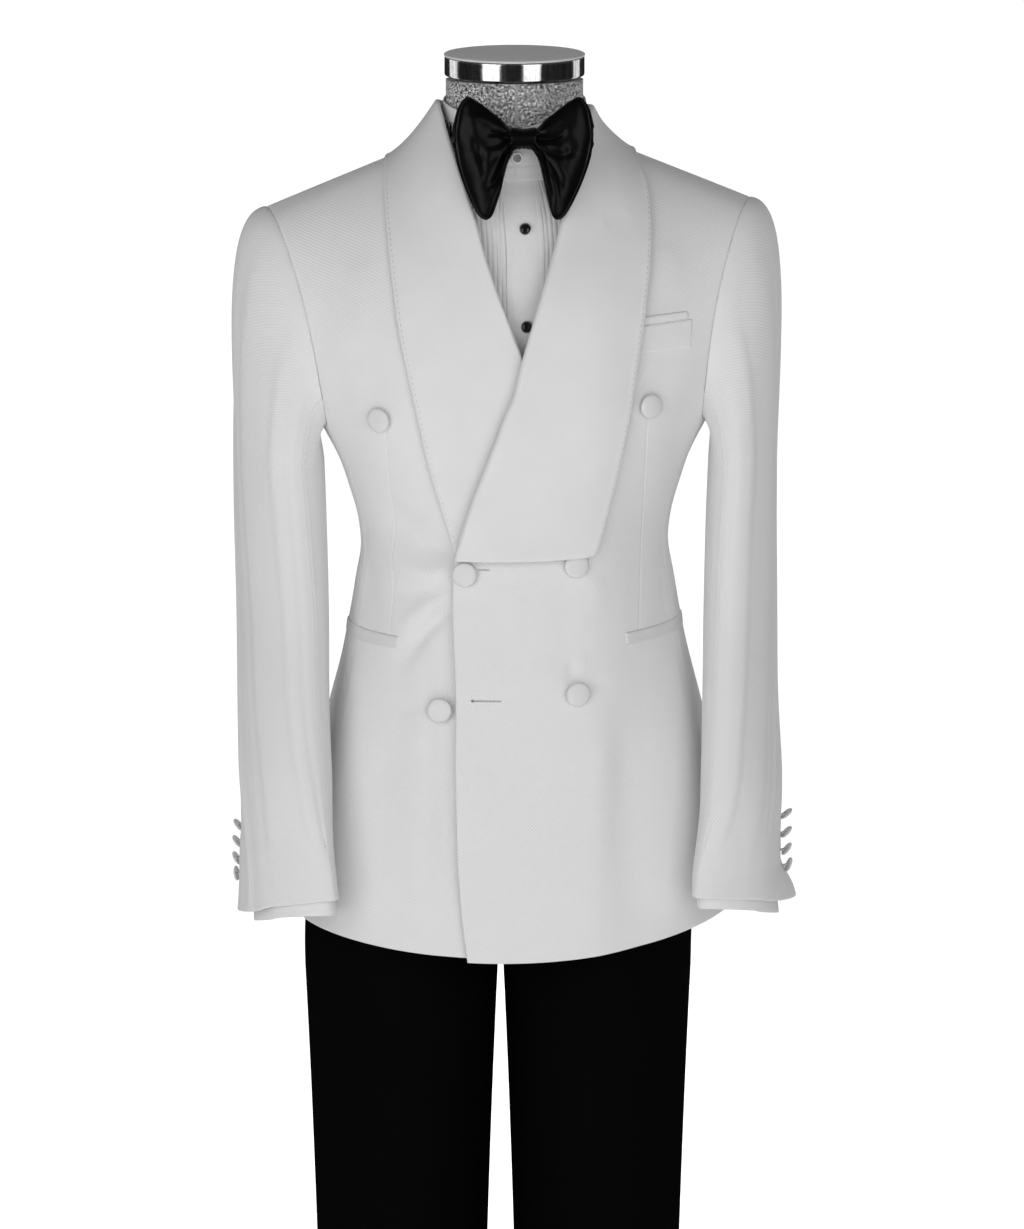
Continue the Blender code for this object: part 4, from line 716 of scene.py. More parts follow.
def makeFront(side):
    values = jacketFronts
    v = bodyRows(*values["rows"])
    skin = frontSkin(side, 0.0)
    start, dart = gOnLine(frontEdge[side], v, side), gOnLine(values["darts"][side], v, side)
    # the lapel folds round the edge above its lower end
    inset = values["foldInset"][side] * ease(1.16, 1.185, skin(start, v)[..., 2])
    start = start + seamStep(skin, start, v, 1, 1.0) * inset
    end = jacketBody["sideSeam"] + seamStep(skin, jacketBody["sideSeam"], v, -1)
    dart = np.maximum(dart, start + 0.12 * (end - start))
    inside = spaced(0, 1, values["columns"][0], 0.15, (0.0005, 0.0012, 0.0024, 0.004))
    outside = spaced(0, 1, values["columns"][1], 0.11, (0.0005, 0.0011, 0.002, 0.0032))
    start, dart, end = start[:, None], dart[:, None], end[:, None]
    g = np.concatenate([mix(start, dart, inside[None, :-1]), mix(dart, end, outside[None])], 1)
    grid = skin(g, v[:, None])
    x, z = grid[..., 0], grid[..., 2]
    lift = frontCrease(side, x, z, g)
    across = arcLengths(grid)[0]
    off = across - across[:, len(inside) - 1 : len(inside)]
    low, high = values["dartSpan"][side]
    window = ease(low - 0.004, low + 0.004, z) * fade(high - 0.006, high + 0.004, z)
    relief = -values["dartDepth"] * hump(off, values["dartWidth"]) * window
    relief += values["puffDepth"] * hump(np.abs(off) - values["puffAt"], values["puffWidth"]) * window
    piece = cloth(f"front_panel_{sideWord[side]}", grid, jacketCore(1.0), jacketBody["cloth"], lift, relief)
    dress(piece, whiteWool, "white_wool", f"front_{sideWord[side]}")
    declare(values["cut"])


for side in (left, right):
    makeFront(side)
print("jacket fronts made")

jacketSides = {"rows": 110, "columns": 22, "cut": (0.11, 0.495, 0.82)}
sideFolds = {  # A runs from the front seam to the back seam in y
    left: millimetres(foldColumns, [
        (-30, 1160, 30, 1150, 6, 20, -0.6), (-36, 1124, 24, 1132, -4, 18, 0.4),
        (10, 1230, 30, 1180, 4, 12, -1.4), (0, 1050, 4, 850, 8, 20, 1.8),
        (-28, 1000, -36, 820, -4, 15, -1.4),
    ]),
    right: millimetres(foldColumns, [
        (-34, 1152, 26, 1164, -5, 20, -0.6), (-30, 1120, 30, 1122, 4, 18, 0.4),
        (6, 1236, 26, 1190, -4, 11, -1.3), (8, 1040, 0, 860, -8, 19, 1.7),
        (-30, 990, -28, 830, 4, 16, -1.5),
    ]),
}


def makeSide(side):
    values = jacketSides
    v = bodyRows(values["rows"])
    skin = ringSkin(side, 0.0, 1.0)
    seam = jacketBody["sideSeam"]
    start = seam + seamStep(skin, seam, v, 1)
    end = 2 - seam + seamStep(skin, 2 - seam, v, -1)
    g = mix(start[:, None], end[:, None], spaced(0, 1, values["columns"], 0.12)[None, :])
    grid = skin(g, v[:, None])
    lift = creaseField(grid[..., 1], grid[..., 2], sideFolds[side], 1.4) * fromEdge(grid, 0.012)
    piece = cloth(f"side_panel_{sideWord[side]}", grid, jacketCore(0.5), jacketBody["cloth"], lift)
    dress(piece, whiteWool, "white_wool", f"side_{sideWord[side]}")
    declare(values["cut"])


jacketBacks = {"rows": (92, 48), "columns": 50, "neckX": 0.0735, "neckV": 1.64, "cut": (0.26, 0.79, 0.76)}
backFolds = {
    left: millimetres(foldColumns, [
        (150, 1330, 90, 1250, 6, 12, -2), (168, 1300, 110, 1215, 5, 10, 1.6),
        (112, 1155, 30, 1140, 6, 11, -2), (116, 1128, 40, 1118, -5, 10, 1.6),
        (40, 1180, 12, 1165, 2, 8, -1.2), (60, 1520, 110, 1430, -6, 18, 1.6),
        (90, 1040, 104, 850, 6, 22, 2), (50, 1020, 56, 820, -5, 18, -1.8),
        (150, 1060, 168, 900, -4, 16, -1.4),
    ]),
    right: millimetres(foldColumns, [
        (-146, 1338, -84, 1246, -6, 13, -2.1), (-166, 1304, -104, 1222, 5, 10, 1.5),
        (-114, 1146, -26, 1150, -6, 12, -1.9), (-118, 1122, -46, 1112, 4, 9, 1.6),
        (-36, 1176, -10, 1160, -2, 8, -1.1), (-56, 1516, -104, 1436, 6, 17, 1.5),
        (-84, 1030, -98, 840, -6, 21, 1.9), (-44, 1010, -52, 830, 4, 19, -1.7),
        (-154, 1050, -166, 910, 5, 15, -1.4),
    ]),
}


def makeBack(side):
    values = jacketBacks
    rows = bodyRows(*values["rows"])
    skin = ringSkin(side, 0.0)
    seam = 2 - jacketBody["sideSeam"]
    start = seam + seamStep(skin, seam, np.minimum(rows, 1.999), 1)
    g = mix(start[:, None], 2 - 0.0004, spaced(0, 1, values["columns"], 0.21)[None, :])
    x = quarter(2 - g)[0] / quarter(jacketBody["sideSeam"])[0] * shoulderX
    neck = np.clip(1 - (x / values["neckX"]) ** 2, 0, None) ** 0.5
    top = mix(2.0, values["neckV"], neck) - 0.0012
    v = np.where(rows[:, None] > 1, 1 + (rows[:, None] - 1) * (top - 1), rows[:, None])
    grid = skin(g, v)
    lift = creaseField(grid[..., 0], grid[..., 2], backFolds[side], 1.4) * fromEdge(grid, 0.014)
    piece = cloth(f"back_panel_{sideWord[side]}", grid, jacketCore(1.0), jacketBody["cloth"], lift)
    dress(piece, whiteWool, "white_wool", f"back_{sideWord[side]}")
    declare(values["cut"])


for side in (left, right):
    makeSide(side)
    makeBack(side)
print("jacket sides and backs made")


# ---- lapels: from their lower edges up over the fronts, over the shoulders and round the neck
lapelShape = {
    "cloth": 0.0018, "bottomZ": 1.1575, "shoulderShare": 0.72, "crestCurve": 1.9, "centreV": 1.58,
    "crest": {left: (0.0722, -0.002, 1.5785), right: (-0.0722, -0.002, 1.584)},
    "crestBack": (0.0, 0.0785, 1.574),
    "lift": {left: 0.0046, right: 0.0013}, "puff": {left: 0.004, right: 0.0},
    "roll": {left: 0.0036, right: 0.0012}, "rollTurn": 150, "rows": (150, 74), "columns": 34,
    "corner": 0.0055,
    "cut": {left: (0.15, 0.61, 0.64), right: (0.147, 0.61, 0.64)},
}
lapelFolds = {  # A is the place across in x and B the height
    left: millimetres(foldColumns, [
        (86, 1472, 106, 1482, 1, 12, -0.9), (60, 1290, 104, 1330, -4, 16, 1.2),
        (0, 1210, 60, 1205, 3, 15, 0.9), (10, 1300, 50, 1400, 4, 18, -1),
        (60, 1440, 85, 1520, -4, 18, -1.2), (-20, 1180, 40, 1176, 2, 10, -0.7),
    ]),
    right: millimetres(foldColumns, [
        (-60, 1260, -40, 1350, 4, 15, -1), (-92, 1330, -70, 1400, -3, 14, 1),
        (-66, 1430, -92, 1515, 4, 18, -1.2), (-62, 1215, -50, 1250, 2, 10, 0.8),
    ]),
}


def lapelStartV(side):
    hem = hemHeight(side, 0)
    return (lapelShape["bottomZ"] - hem) / (jacketBody["armpitZ"] - hem)


lapelLines = {}
for side in (left, right):
    v = np.linspace(lapelStartV(side) - 0.01, 2.0, 500)
    lapelLines[side] = v, gOnLine(rollLine[side], v, side), gOnLine(lapelEdge[side], v, side)


def lapelOverFront(side, v, share):
    known, gIn, gOut = lapelLines[side]
    v, share = np.broadcast_arrays(np.asarray(v, float), np.asarray(share, float))
    g = mix(np.interp(v, known, gIn), np.interp(v, known, gOut), share)
    base = jacketPoint(side * g, v, side)
    out = frontOutward(side, g, v, 1.99)
    x, z = base[..., 0], base[..., 2]
    lift = lapelShape["lift"][side] * mix(1, 0.3, ease(1.45, 2.0, v))
    if side == left:  # the upper lapel stands further off at its lower end
        lift = lift + 0.004 * fade(lapelShape["bottomZ"], 1.225, z)
    else:
        lift = lift + 0.0016 * ease(0.04, 0.075, -x) * fade(1.45, 2.0, v)
    lift = lift + lapelShape["puff"][side] * hump(share, 0.16) * ease(1.157, 1.25, z)
    return base + out * (jacketBody["cloth"] + frontLift(side, base) + lift)[..., None]


def lapelOnChest(side, v, share):
    found = lapelOverFront(side, v, share)
    climb = np.array(lapelShape["crest"][side]) - lapelOverFront(side, 2.0, 0.0)
    rise = ease(1.45, 2.0, np.asarray(v)) * np.clip(1 - share, 0, None) ** lapelShape["crestCurve"]
    return found + climb * rise[..., None]


def lapelRoundNeck(side, turn, share):
    turn, share = np.broadcast_arrays(np.asarray(turn, float), np.asarray(share, float))
    angle = turn * np.pi / 2
    crest, behind = np.array(lapelShape["crest"][side]), np.array(lapelShape["crestBack"])
    fold = point(crest[0] * np.cos(angle), *(mix(crest[k], behind[k], np.sin(angle)) for k in (1, 2)))
    reach = quarter(jacketBody["sideSeam"])[0]
    wide = column(lapelEdge[side], "x", 1.6) * np.cos(angle) / shoulderX * reach
    g = 2 - 2 / np.pi * np.arcsin(np.clip(wide, 0, 1) ** (jacketBody["power"] / 2))
    v = mix(2.0, lapelShape["centreV"], np.sin(angle) ** 1.5)
    base = jacketPoint(side * g, v)
    out = outward(lambda a, b: jacketPoint(side * a, b), g, np.minimum(v, 1.99), jacketCore(v))
    edge = base + out * (jacketBody["cloth"] + 0.0018)
    found = mix(edge, fold, (1 - share)[..., None])
    curve = mix(lapelShape["crestCurve"], 1.25, np.sin(angle))
    found[..., 2] = mix(edge[..., 2], fold[..., 2], np.clip(1 - share, 0, None) ** curve)
    return found


def lapelSkin(side):
    reach = lapelShape["shoulderShare"]

    def skin(share, length):
        share, length = np.broadcast_arrays(np.clip(share, -0.02, 1.02), np.asarray(length, float))
        v = mix(lapelStartV(side), 2.0, np.clip(length, 0, reach) / reach)
        turn = np.clip((length - reach) / (1 - reach), 0, 1)
        over = lapelOnChest(side, 2.0, share) - lapelRoundNeck(side, 0.0, share)
        behind = lapelRoundNeck(side, turn, share) + over * fade(0, 0.5, turn)[..., None]
        return np.where((length < reach)[..., None], lapelOnChest(side, v, share), behind)

    return skin


def makeLapel(side):
    values = lapelShape
    skin, reach = lapelSkin(side), values["shoulderShare"]
    near = np.array([0.0006, 0.0014, 0.0026, 0.0042])
    chest = np.concatenate([[0.0], near / 0.55 * reach, np.linspace(0.008, reach, values["rows"][0])])
    length = np.concatenate([chest, np.linspace(reach, 0.9994, values["rows"][1])[1:]])[:, None]
    rise = ease(1.45, 2.0, mix(lapelStartV(side), 2.0, length / reach))
    radius = mix(values["roll"][side], 0.0009, rise)
    ends = skin(np.array([0.0, 1.0])[None], length)
    width = np.linalg.norm(ends[:, 1] - ends[:, 0], axis=-1)[:, None]
    # the cloth folds back under itself along the roll line, on a half circle
    first = (radius + values["cloth"]) / width
    share = first + (1 - first) * spaced(0, 1, values["columns"], 0.12, (0.0006, 0.0014, 0.0026))[None]
    flatPart = skin(share, length)
    across = unit(flatPart[:, 1] - flatPart[:, 0])
    along = unit(np.gradient(flatPart[:, 0], axis=0))
    out = unit(np.cross(across, along))
    coreV = np.minimum(mix(0.76, 2.0, length[:, 0] / reach), 2.0)
    core = jacketCore(coreV)[:, None]
    out = np.where(np.sum(out * (flatPart[:, 0] - core[:, 0]), -1)[:, None] < 0, -out, out)
    middle = flatPart[:, 0] - out * radius
    bend = np.radians(np.linspace(values["rollTurn"], 0, 12))[:-1][None, :, None]
    around = out[:, None] * np.cos(bend) - across[:, None] * np.sin(bend)
    curl = middle[:, None] + around * radius[..., None]
    grid = np.concatenate([curl, flatPart], 1)
    curled = curl.shape[1]
    lift = creaseField(grid[..., 0], grid[..., 2], lapelFolds[side]) * fromEdge(grid, 0.012)
    lift[:, :curled] *= 0.3
    across = arcLengths(grid)[0]
    toEdge = across[:, -1:] - across
    # the lower outer corner is a little rounded
    corner = values["corner"]
    low = np.clip(1 - runLength(grid[:, -1]) / corner, 0, 1)
    pull = corner * (1 - np.sqrt(1 - low**2))[:, None] * np.clip(1 - toEdge / (3 * corner), 0, 1)
    grid = grid - unit(np.gradient(grid, axis=1)) * pull[..., None]
    relief = 0.0005 * hump(toEdge - 0.0032, 0.0016) - 0.00035 * hump(toEdge - 0.0046, 0.0009)
    relief[:, :curled] = 0
    word = sideWord[side]
    piece = cloth(f"shawl_lapel_{word}", grid, core, values["cloth"], lift, relief)
    dress(piece, whiteSatin, "white_satin", f"lapel_{word}")
    declare(values["cut"][side])


for side in (left, right):
    makeLapel(side)

collarStand = {
    "sweep": 96, "low": (1.5495, 1.545), "drop": 0.0045, "cloth": 0.0012, "gap": 0.0004, "backGap": 0.0014,
    "cut": (0.25, 0.028, 1.0),
}


def makeCollarStand():
    turn = spaced(-1, 1, 120, 0.25)[None]
    angle = turn * math.radians(collarStand["sweep"])
    back = np.abs(np.cos(angle))
    low = mix(*collarStand["low"], back)
    crest, behind = lapelShape["crest"], lapelShape["crestBack"]
    high = mix(np.where(angle > 0, crest[left][2], crest[right][2]), behind[2], back) - collarStand["drop"]
    share = spaced(0, 1, 14, 0.028)[:, None]
    push = collarStand["cloth"] + collarStand["gap"]
    across, deep = crest[left][0] - push, behind[1] - collarStand["backGap"] - push
    grid = point(across * np.sin(angle), deep * np.cos(angle), mix(low, high, share))
    piece = cloth("jacket_collar_stand", grid, point(0, 0, grid[..., 2]), collarStand["cloth"])
    dress(piece, whiteWool, "white_wool", "collar_stand")
    declare(collarStand["cut"])


makeCollarStand()
print("lapels and collar made")

# ---- sleeves: a head that grows out of the armhole, then rings down the arm
armColumns = "z x y long short turn"
arms = {
    right: table(armColumns, [
        (0.79, 0.2155, -0.0965, 0.0725, 0.0335, 46), (0.83, 0.216, -0.094, 0.071, 0.034, 49),
        (0.87, 0.2178, -0.09, 0.068, 0.0345, 51), (0.925, 0.2192, -0.079, 0.066, 0.037, 58),
        (1.01, 0.221, -0.053, 0.0665, 0.0395, 68), (1.1, 0.2222, -0.024, 0.069, 0.041, 72),
        (1.187, 0.2247, -0.008, 0.072, 0.0425, 77), (1.235, 0.2261, -0.002, 0.0735, 0.0427, 80),
    ]),
    left: table(armColumns, [
        (0.79, 0.2215, -0.099, 0.073, 0.0345, 42), (0.83, 0.2182, -0.096, 0.07, 0.033, 47),
        (0.855, 0.2128, -0.0935, 0.064, 0.033, 52), (0.87, 0.2134, -0.092, 0.063, 0.033, 53),
        (0.925, 0.2172, -0.08, 0.065, 0.034, 65), (1.01, 0.2171, -0.053, 0.068, 0.0342, 74),
        (1.1, 0.218, -0.023, 0.0715, 0.0345, 78), (1.187, 0.219, -0.007, 0.075, 0.034, 81),
        (1.235, 0.2199, -0.002, 0.0765, 0.0334, 83),
    ]),
}
sleeveShape = {
    "cloth": 0.0016, "hemMiddle": {left: 0.8285, right: 0.8195}, "hemSlant": {left: 0.0085, right: 0.015},
    "corner": 132, "backSeam": -88, "frontSeam": 110, "capShare": 0.36, "gap": 0.06, "topZ": 1.235,
    "rows": (52, 92), "columns": (58, 36),
    "cut": {"top": (0.235, 0.68, 0.78), "under": (0.17, 0.52, 0.84)},
}
sleeveFolds = {  # A is degrees round from the top (90 is the front, -90 the back), B the height
    right: table(foldColumns, [
        (-30, 1.4, -44, 1.18, 8, 26, -0.0009), (-38, 1.19, -48, 0.93, -6, 26, -0.001),
        (-18, 1.33, -26, 1.06, 6, 18, 0.0016), (20, 1.44, 10, 1.3, 5, 16, -0.0014),
        (96, 1.33, 66, 1.24, 8, 13, -0.002), (84, 1.18, 60, 1.09, -6, 14, 0.0014),
        (-20, 0.96, 20, 0.92, 4, 9, -0.0022), (66, 0.962, 24, 0.922, -4, 9, -0.002),
        (-24, 0.93, 22, 0.896, 5, 10, 0.0012), (70, 1.03, 34, 0.985, 6, 12, -0.0012),
        (-70, 1.02, -40, 0.985, 4, 11, -0.0014), (120, 1.3, 96, 1.18, 6, 14, -0.0016),
    ]),
    left: table(foldColumns, [
        (8, 1.306, -24, 1.3, 4, 8, -0.003), (4, 1.322, -26, 1.318, 3, 10, 0.0016),
        (-20, 1.36, -4, 1.12, 9, 20, -0.0009), (-38, 1.18, -46, 0.94, -8, 26, -0.0008),
        (10, 1.42, 6, 1.2, 6, 20, 0.0014), (98, 1.34, 70, 1.25, -8, 13, -0.0018),
        (-6, 0.915, 24, 0.88, 4, 9, -0.0022), (-8, 0.915, -34, 0.878, 3, 9, -0.0024),
        (60, 0.95, 30, 0.905, -4, 10, -0.0016), (-30, 0.98, 10, 0.945, 5, 10, 0.0012),
        (76, 1.08, 40, 1.03, -6, 13, -0.0012), (120, 1.29, 98, 1.19, -6, 14, -0.0014),
    ]),
}


def armholePoint(side, angle):  # 90 is the front, 180 the bottom, -90 the back
    turn = (np.asarray(angle, float) + 180) % 360 - 180
    ahead, size = turn > 0, np.abs(turn)
    share = np.clip(1 - size / sleeveShape["corner"], 0, 1)
    x = side * column(armhole, "x", share) + jacketBody["hangShift"] * share
    y = np.where(ahead, -column(armhole, "front", share), column(armhole, "back", share))
    onHole = point(x, y, column(armhole, "z", share))
    under = np.clip((size - sleeveShape["corner"]) / (180 - sleeveShape["corner"]), 0, 1)
    g = mix(jacketBody["sideSeam"], 1.0, under)
    below = jacketPoint(np.where(ahead, g, 2 - g), 1.0)
    below = point(side * below[..., 0], below[..., 1], jacketBody["armpitZ"])
    found = np.where((size <= sleeveShape["corner"])[..., None], onHole, below)
    found[..., 2] += jacketBody["hangTilt"] * found[..., 0]
    return found


def inArm(side, z, longWay=0.0, shortWay=0.0):  # a place at the height z, from the arm's middle
    rows = arms[side]
    turn = np.radians(column(rows, "turn", z))
    x = column(rows, "x", z) + np.cos(turn) * longWay + np.sin(turn) * shortWay
    y = column(rows, "y", z) + np.sin(turn) * longWay - np.cos(turn) * shortWay
    return point(side * x, y, z)


def armRing(side, z, angle, inset=0.0):  # angle is in degrees from the sleeve's back seam
    rows, a = arms[side], np.radians(angle)
    power = mix(1.0, 1.28, ease(0.96, 0.86, z))  # the cuff is pressed flatter towards its edges
    longWay = (column(rows, "long", z) - inset) * bent(np.cos(a), power)
    return inArm(side, z, longWay, (column(rows, "short", z) - inset) * bent(np.sin(a), power))


def sleeveSkin(side, inset=0.0):
    values = sleeveShape

    def skin(angle, length):
        angle, length = np.broadcast_arrays(np.asarray(angle, float), np.asarray(length, float))
        cap = values["capShare"]
        slant = -values["hemSlant"][side] * np.cos(np.radians(angle - values["backSeam"]))
        low = values["hemMiddle"][side] + slant
        z = mix(values["topZ"], low, np.clip((length - cap) / (1 - cap), 0, 1))
        below = armRing(side, z, angle - values["backSeam"], inset)
        t = np.clip(length / cap, 0, 1)[..., None]
        a = np.radians(angle)
        top = (1 + np.cos(a)) / 2
        turn = np.abs((angle + 180) % 360 - 180)
        lean = mix(0.42, 1.0, ease(20, 150, turn))
        start = armholePoint(side, angle)
        start = start + point(0 * a, -np.sin(a), np.cos(a)) * (jacketBody["cloth"] - inset)
        start[..., 0] += side * jacketBody["cloth"] * (lean - 0.25)
        end = armRing(side, np.full(a.shape, values["topZ"]), angle - values["backSeam"], inset)
        leave = point(side * (0.01 + 0.15 * top**2), 0 * a, 0 * a)
        arrive = point(0 * a, 0 * a, -(0.035 + 0.215 * top))
        above = (
            start * (2 * t**3 - 3 * t**2 + 1) + leave * (t**3 - 2 * t**2 + t)
            + end * (3 * t**2 - 2 * t**3) + arrive * (t**3 - t**2)
        )
        return np.where((length >= cap)[..., None], below, above)

    return skin


def armCore(side, length):
    z = np.where(length < sleeveShape["capShare"] * 0.5, 1.36, mix(1.3, 0.8, length))
    return inArm(side, z) - point(side * 0.004, 0, 0)


cuffVent = {"high": 0.106, "step": 0.0005, "wide": (0.016, 0.019)}


def makeSleevePiece(side, part):
    values, word = sleeveShape, sideWord[side]
    near, cap, end = np.array([0.0005, 0.0012, 0.0024, 0.004]), values["capShare"], 0.009
    head = np.concatenate([[0.0], near / 0.25 * cap, np.linspace(end, cap, values["rows"][0])])
    arm = np.linspace(cap, 1 - end, values["rows"][1])[1:]
    length = np.concatenate([head, arm, 1 - near[::-1] / 0.42 * (1 - cap), [1.0]])[:, None]
    back, front, gap = values["backSeam"], values["frontSeam"], values["gap"]
    if part == "top":
        first, last, count, reach, beside = back, front, values["columns"][0], 0.2, "front"
    else:
        first, last, count, reach, beside = front, 360 + back, values["columns"][1], 0.13, "side"
    angle = spaced(first + gap, last - gap, count, reach, (0.0005, 0.0011, 0.002))[None]
    outerSkin = sleeveSkin(side)(angle, length)
    signed = (angle + 180) % 360 - 180
    lift = creaseField(signed + 0 * length, outerSkin[..., 2], sleeveFolds[side])
    lift *= fromEdge(outerSkin, 0.01) * ease(0.02, 0.16, length)
    lift = np.maximum(lift, -mix(0.0004, 0.004, ease(0.865, 0.925, outerSkin[..., 2])))
    relief = -0.001 * hump(arcLengths(outerSkin)[1], 0.0024)
    if part == "top":  # the vent: the top sleeve laps over, with a pressed edge
        fromSeam = np.linalg.norm(outerSkin - outerSkin[:, :1], axis=-1)
        above = outerSkin[..., 2] - outerSkin[-1:, :, 2]
        window = fade(cuffVent["high"] - 0.012, cuffVent["high"], above)
        relief += cuffVent["step"] * fade(*cuffVent["wide"], fromSeam) * window
        pucker = hump(outerSkin[..., 2] - 1.45, 0.05)  # where the head is eased into the armhole
        relief += 0.0003 * np.sin(np.radians(signed) * 22) * pucker * fade(0.0, 0.05, length)
    core, thick = armCore(side, length), values["cloth"]
    piece = cloth(f"jacket_{part}_sleeve_{word}", outerSkin, core, thick, lift - thick, relief)
    dress(piece, whiteWool, "white_wool", f"{part}_sleeve_{word}")
    declare(values["cut"][part])


for side in (left, right):
    for part in ("top", "under"):
        makeSleevePiece(side, part)
print("sleeves made")


# ---- what lies on the jacket: pocket welts, buttons, buttonholes and stitches
def findOnFront(side, x, z):  # g and v of a front's skin at x (towards its own side) and height z
    x, z = np.broadcast_arrays(np.asarray(x, float), np.asarray(z, float))
    hem, armpit, yoke, seam = hemHeight(side, 0), jacketBody["armpitZ"], 0.25, jacketBody["sideSeam"]
    v = np.where(z < armpit, (z - hem) / (armpit - hem), 1 + (z - armpit) / yoke)

    def isLow(g):
        return side * jacketPoint(side * g, v, side)[..., 0] < x

    for _ in range(12):
        g = search(np.full(v.shape, -seam), np.where(v > 1, seam, 1.0), isLow, 26)
        found = jacketPoint(side * g, v, side)
        v = np.minimum(1.99, v + (z - found[..., 2]) / np.where(v < 1, armpit - hem, yoke))
    return g, v


def onFront(side, x, z, lift):  # a point and the outward way, lift off the bare skin of a front
    g, v = findOnFront(side, x, z)
    here = frontSkin(side, jacketBody["cloth"] + lift)(g, v)
    out = frontOutward(side, g, v)
    worn = frontCrease(side, side * np.asarray(x), z, g)
    return here + out * worn[..., None], out


stripPieces = {
    "breast_pocket_welt": {
        "corners": ((0.113, 1.3506), (0.167, 1.354), (0.168, 1.3815), (0.117, 1.3769)), "lift": -0.0006,
        "cloth": 0.0007, "stand": 0.0007, "edge": 0.0007, "grid": (44, 84), "high": 0.028,
        "look": (whiteWool, "white_wool", "breast_welt"), "cut": (0.062, 0.028, 1.0),
    },
    "breast_pocket_edge": {
        "corners": ((0.1172, 1.3781), (0.164, 1.3824), (0.163, 1.3885), (0.1186, 1.385)), "lift": -0.0004,
        "cloth": 0.001, "stand": 0.0004, "edge": 0.0004, "grid": (14, 70), "high": 0.006,
        "look": (whiteSatin, "white_satin", "breast_insert"), "cut": (0.053, 0.0102, 0.78),
    },
}


def makeStrip(name, values):
    low0, low1, high1, high0 = values["corners"]
    up = spaced(0, 1, values["grid"][0], values["high"], (0.0004, 0.001))[:, None]
    along = spaced(0, 1, values["grid"][1], 0.06, (0.0004, 0.001))[None]
    x, z = (mix(mix(low0[k], low1[k], along), mix(high0[k], high1[k], along), up) for k in (0, 1))
    grid = onFront(left, x, z, values["lift"])[0]
    sewn = np.minimum(up * 0.028, np.minimum(along, 1 - along) * 0.062)
    relief = (values["stand"] + 0.0007 * up) * ease(0.0002, 0.0022, sewn)
    relief = relief - 0.0002 * hump(sewn - 0.0012, 0.0005)
    piece = cloth(name, grid, jacketCore(1.3), values["cloth"], None, relief, soften=values["edge"])
    dress(piece, *values["look"])
    declare(values["cut"])


for name, values in stripPieces.items():
    makeStrip(name, values)

hipWelts = {
    "start": {left: 0.415, right: 0.445}, "end": 0.97, "low": 1.0695, "high": 1.0815, "slope": 0.006,
    "cloth": 0.0007, "stand": 0.0007, "tilt": 0.0009, "cut": (0.115, 0.0125, 1.0),
}


def makeHipWelt(side):
    values = hipWelts
    g = spaced(values["start"][side], values["end"], 150, 0.17)[None]
    share = spaced(0, 1, 16, 0.012, (0.0004, 0.001))[:, None]
    rise = values["slope"] * (g - g[:, :1]) / (g[:, -1:] - g[:, :1])
    hem = hemHeight(side, g)
    v = (mix(values["low"], values["high"], share) + rise - hem) / (jacketBody["armpitZ"] - hem)
    grid = ringSkin(side, jacketBody["cloth"] - 0.0006)(g, v)
    ahead = frontCrease(side, grid[..., 0], grid[..., 2], g)
    sewn = np.minimum(share * 0.012, (g - g[:, :1]) * 0.25)
    stand = (values["stand"] + values["tilt"] * share) * ease(0.0001, 0.0018, sewn)
    word = sideWord[side]
    piece = cloth(f"hip_pocket_welt_{word}", grid, jacketCore(0.6), values["cloth"], ahead, stand)
    dress(piece, weltWool, "white_wool", f"hip_welt_{word}")
    declare(values["cut"])


for side in (left, right):
    makeHipWelt(side)
print("pocket welts made")


def choose(made=None):  # selects one object, or none
    bpy.ops.object.select_all(action="DESELECT")
    if made:
        made.select_set(True)
        bpy.context.view_layer.objects.active = made


def startDisc(name, radius, sides, place=(0, 0, 0)):  # one face, in edit mode, ready to be drawn up
    choose()
    bpy.ops.mesh.primitive_circle_add(vertices=sides, radius=radius, fill_type="NGON", location=place)
    made = bpy.context.object
    made.name = made.data.name = name
    bpy.ops.object.mode_set(mode="EDIT")
    bpy.ops.mesh.select_all(action="SELECT")
    return made


def drawUp(height, lifts):  # extrudes the chosen face, each step given as (rise, new share of the radius)
    for rise, share in lifts:
        height += rise
        bpy.ops.mesh.extrude_region_move(TRANSFORM_OT_translate={"value": (0, 0, rise)})
        if share != 1:
            bpy.ops.transform.resize(value=(share, share, 1), center_override=(0, 0, height))


def closeUp():  # faces outwards, and out of edit mode
    bpy.ops.mesh.select_all(action="SELECT")
    bpy.ops.mesh.normals_make_consistent(inside=False)
    bpy.ops.object.mode_set(mode="OBJECT")


def scaled(profile, across, up):
    return [(r * across, z * up) for r, z in profile]


def turnedPiece(name, profile, sides=48, bevel=None):
    # a round piece about the vertical through the origin, from (radius, height) points
    radius, height = profile[0]
    made = startDisc(name, radius, sides, (0, 0, height))
    drawUp(height, [(z1 - z0, r1 / r0) for (r0, z0), (r1, z1) in zip(profile, profile[1:])])
    closeUp()
    choose(made)
    bpy.ops.object.transform_apply(location=True, rotation=True, scale=True)
    if bevel:
        modifier = made.modifiers.new("soft edges", "BEVEL")
        modifier.width, modifier.segments, modifier.limit_method = bevel, 3, "ANGLE"
        modifier.angle_limit = math.radians(30)
        bpy.ops.object.modifier_apply(modifier=modifier.name)
    bpy.ops.object.shade_smooth_by_angle(angle=math.radians(40))
    return made


def setDown(made, place, axis=(0, 0, 1), spin=0.0):  # turns a piece to its axis and sets it in its place
    turn = Vector((0, 0, 1)).rotation_difference(Vector(axis)).to_euler()
    choose(made)
    made.rotation_euler = (0, 0, spin)
    bpy.ops.object.transform_apply(location=False, rotation=True, scale=False)
    made.rotation_euler = turn
    made.location = place
    bpy.ops.object.transform_apply(location=True, rotation=True, scale=True)
    return made


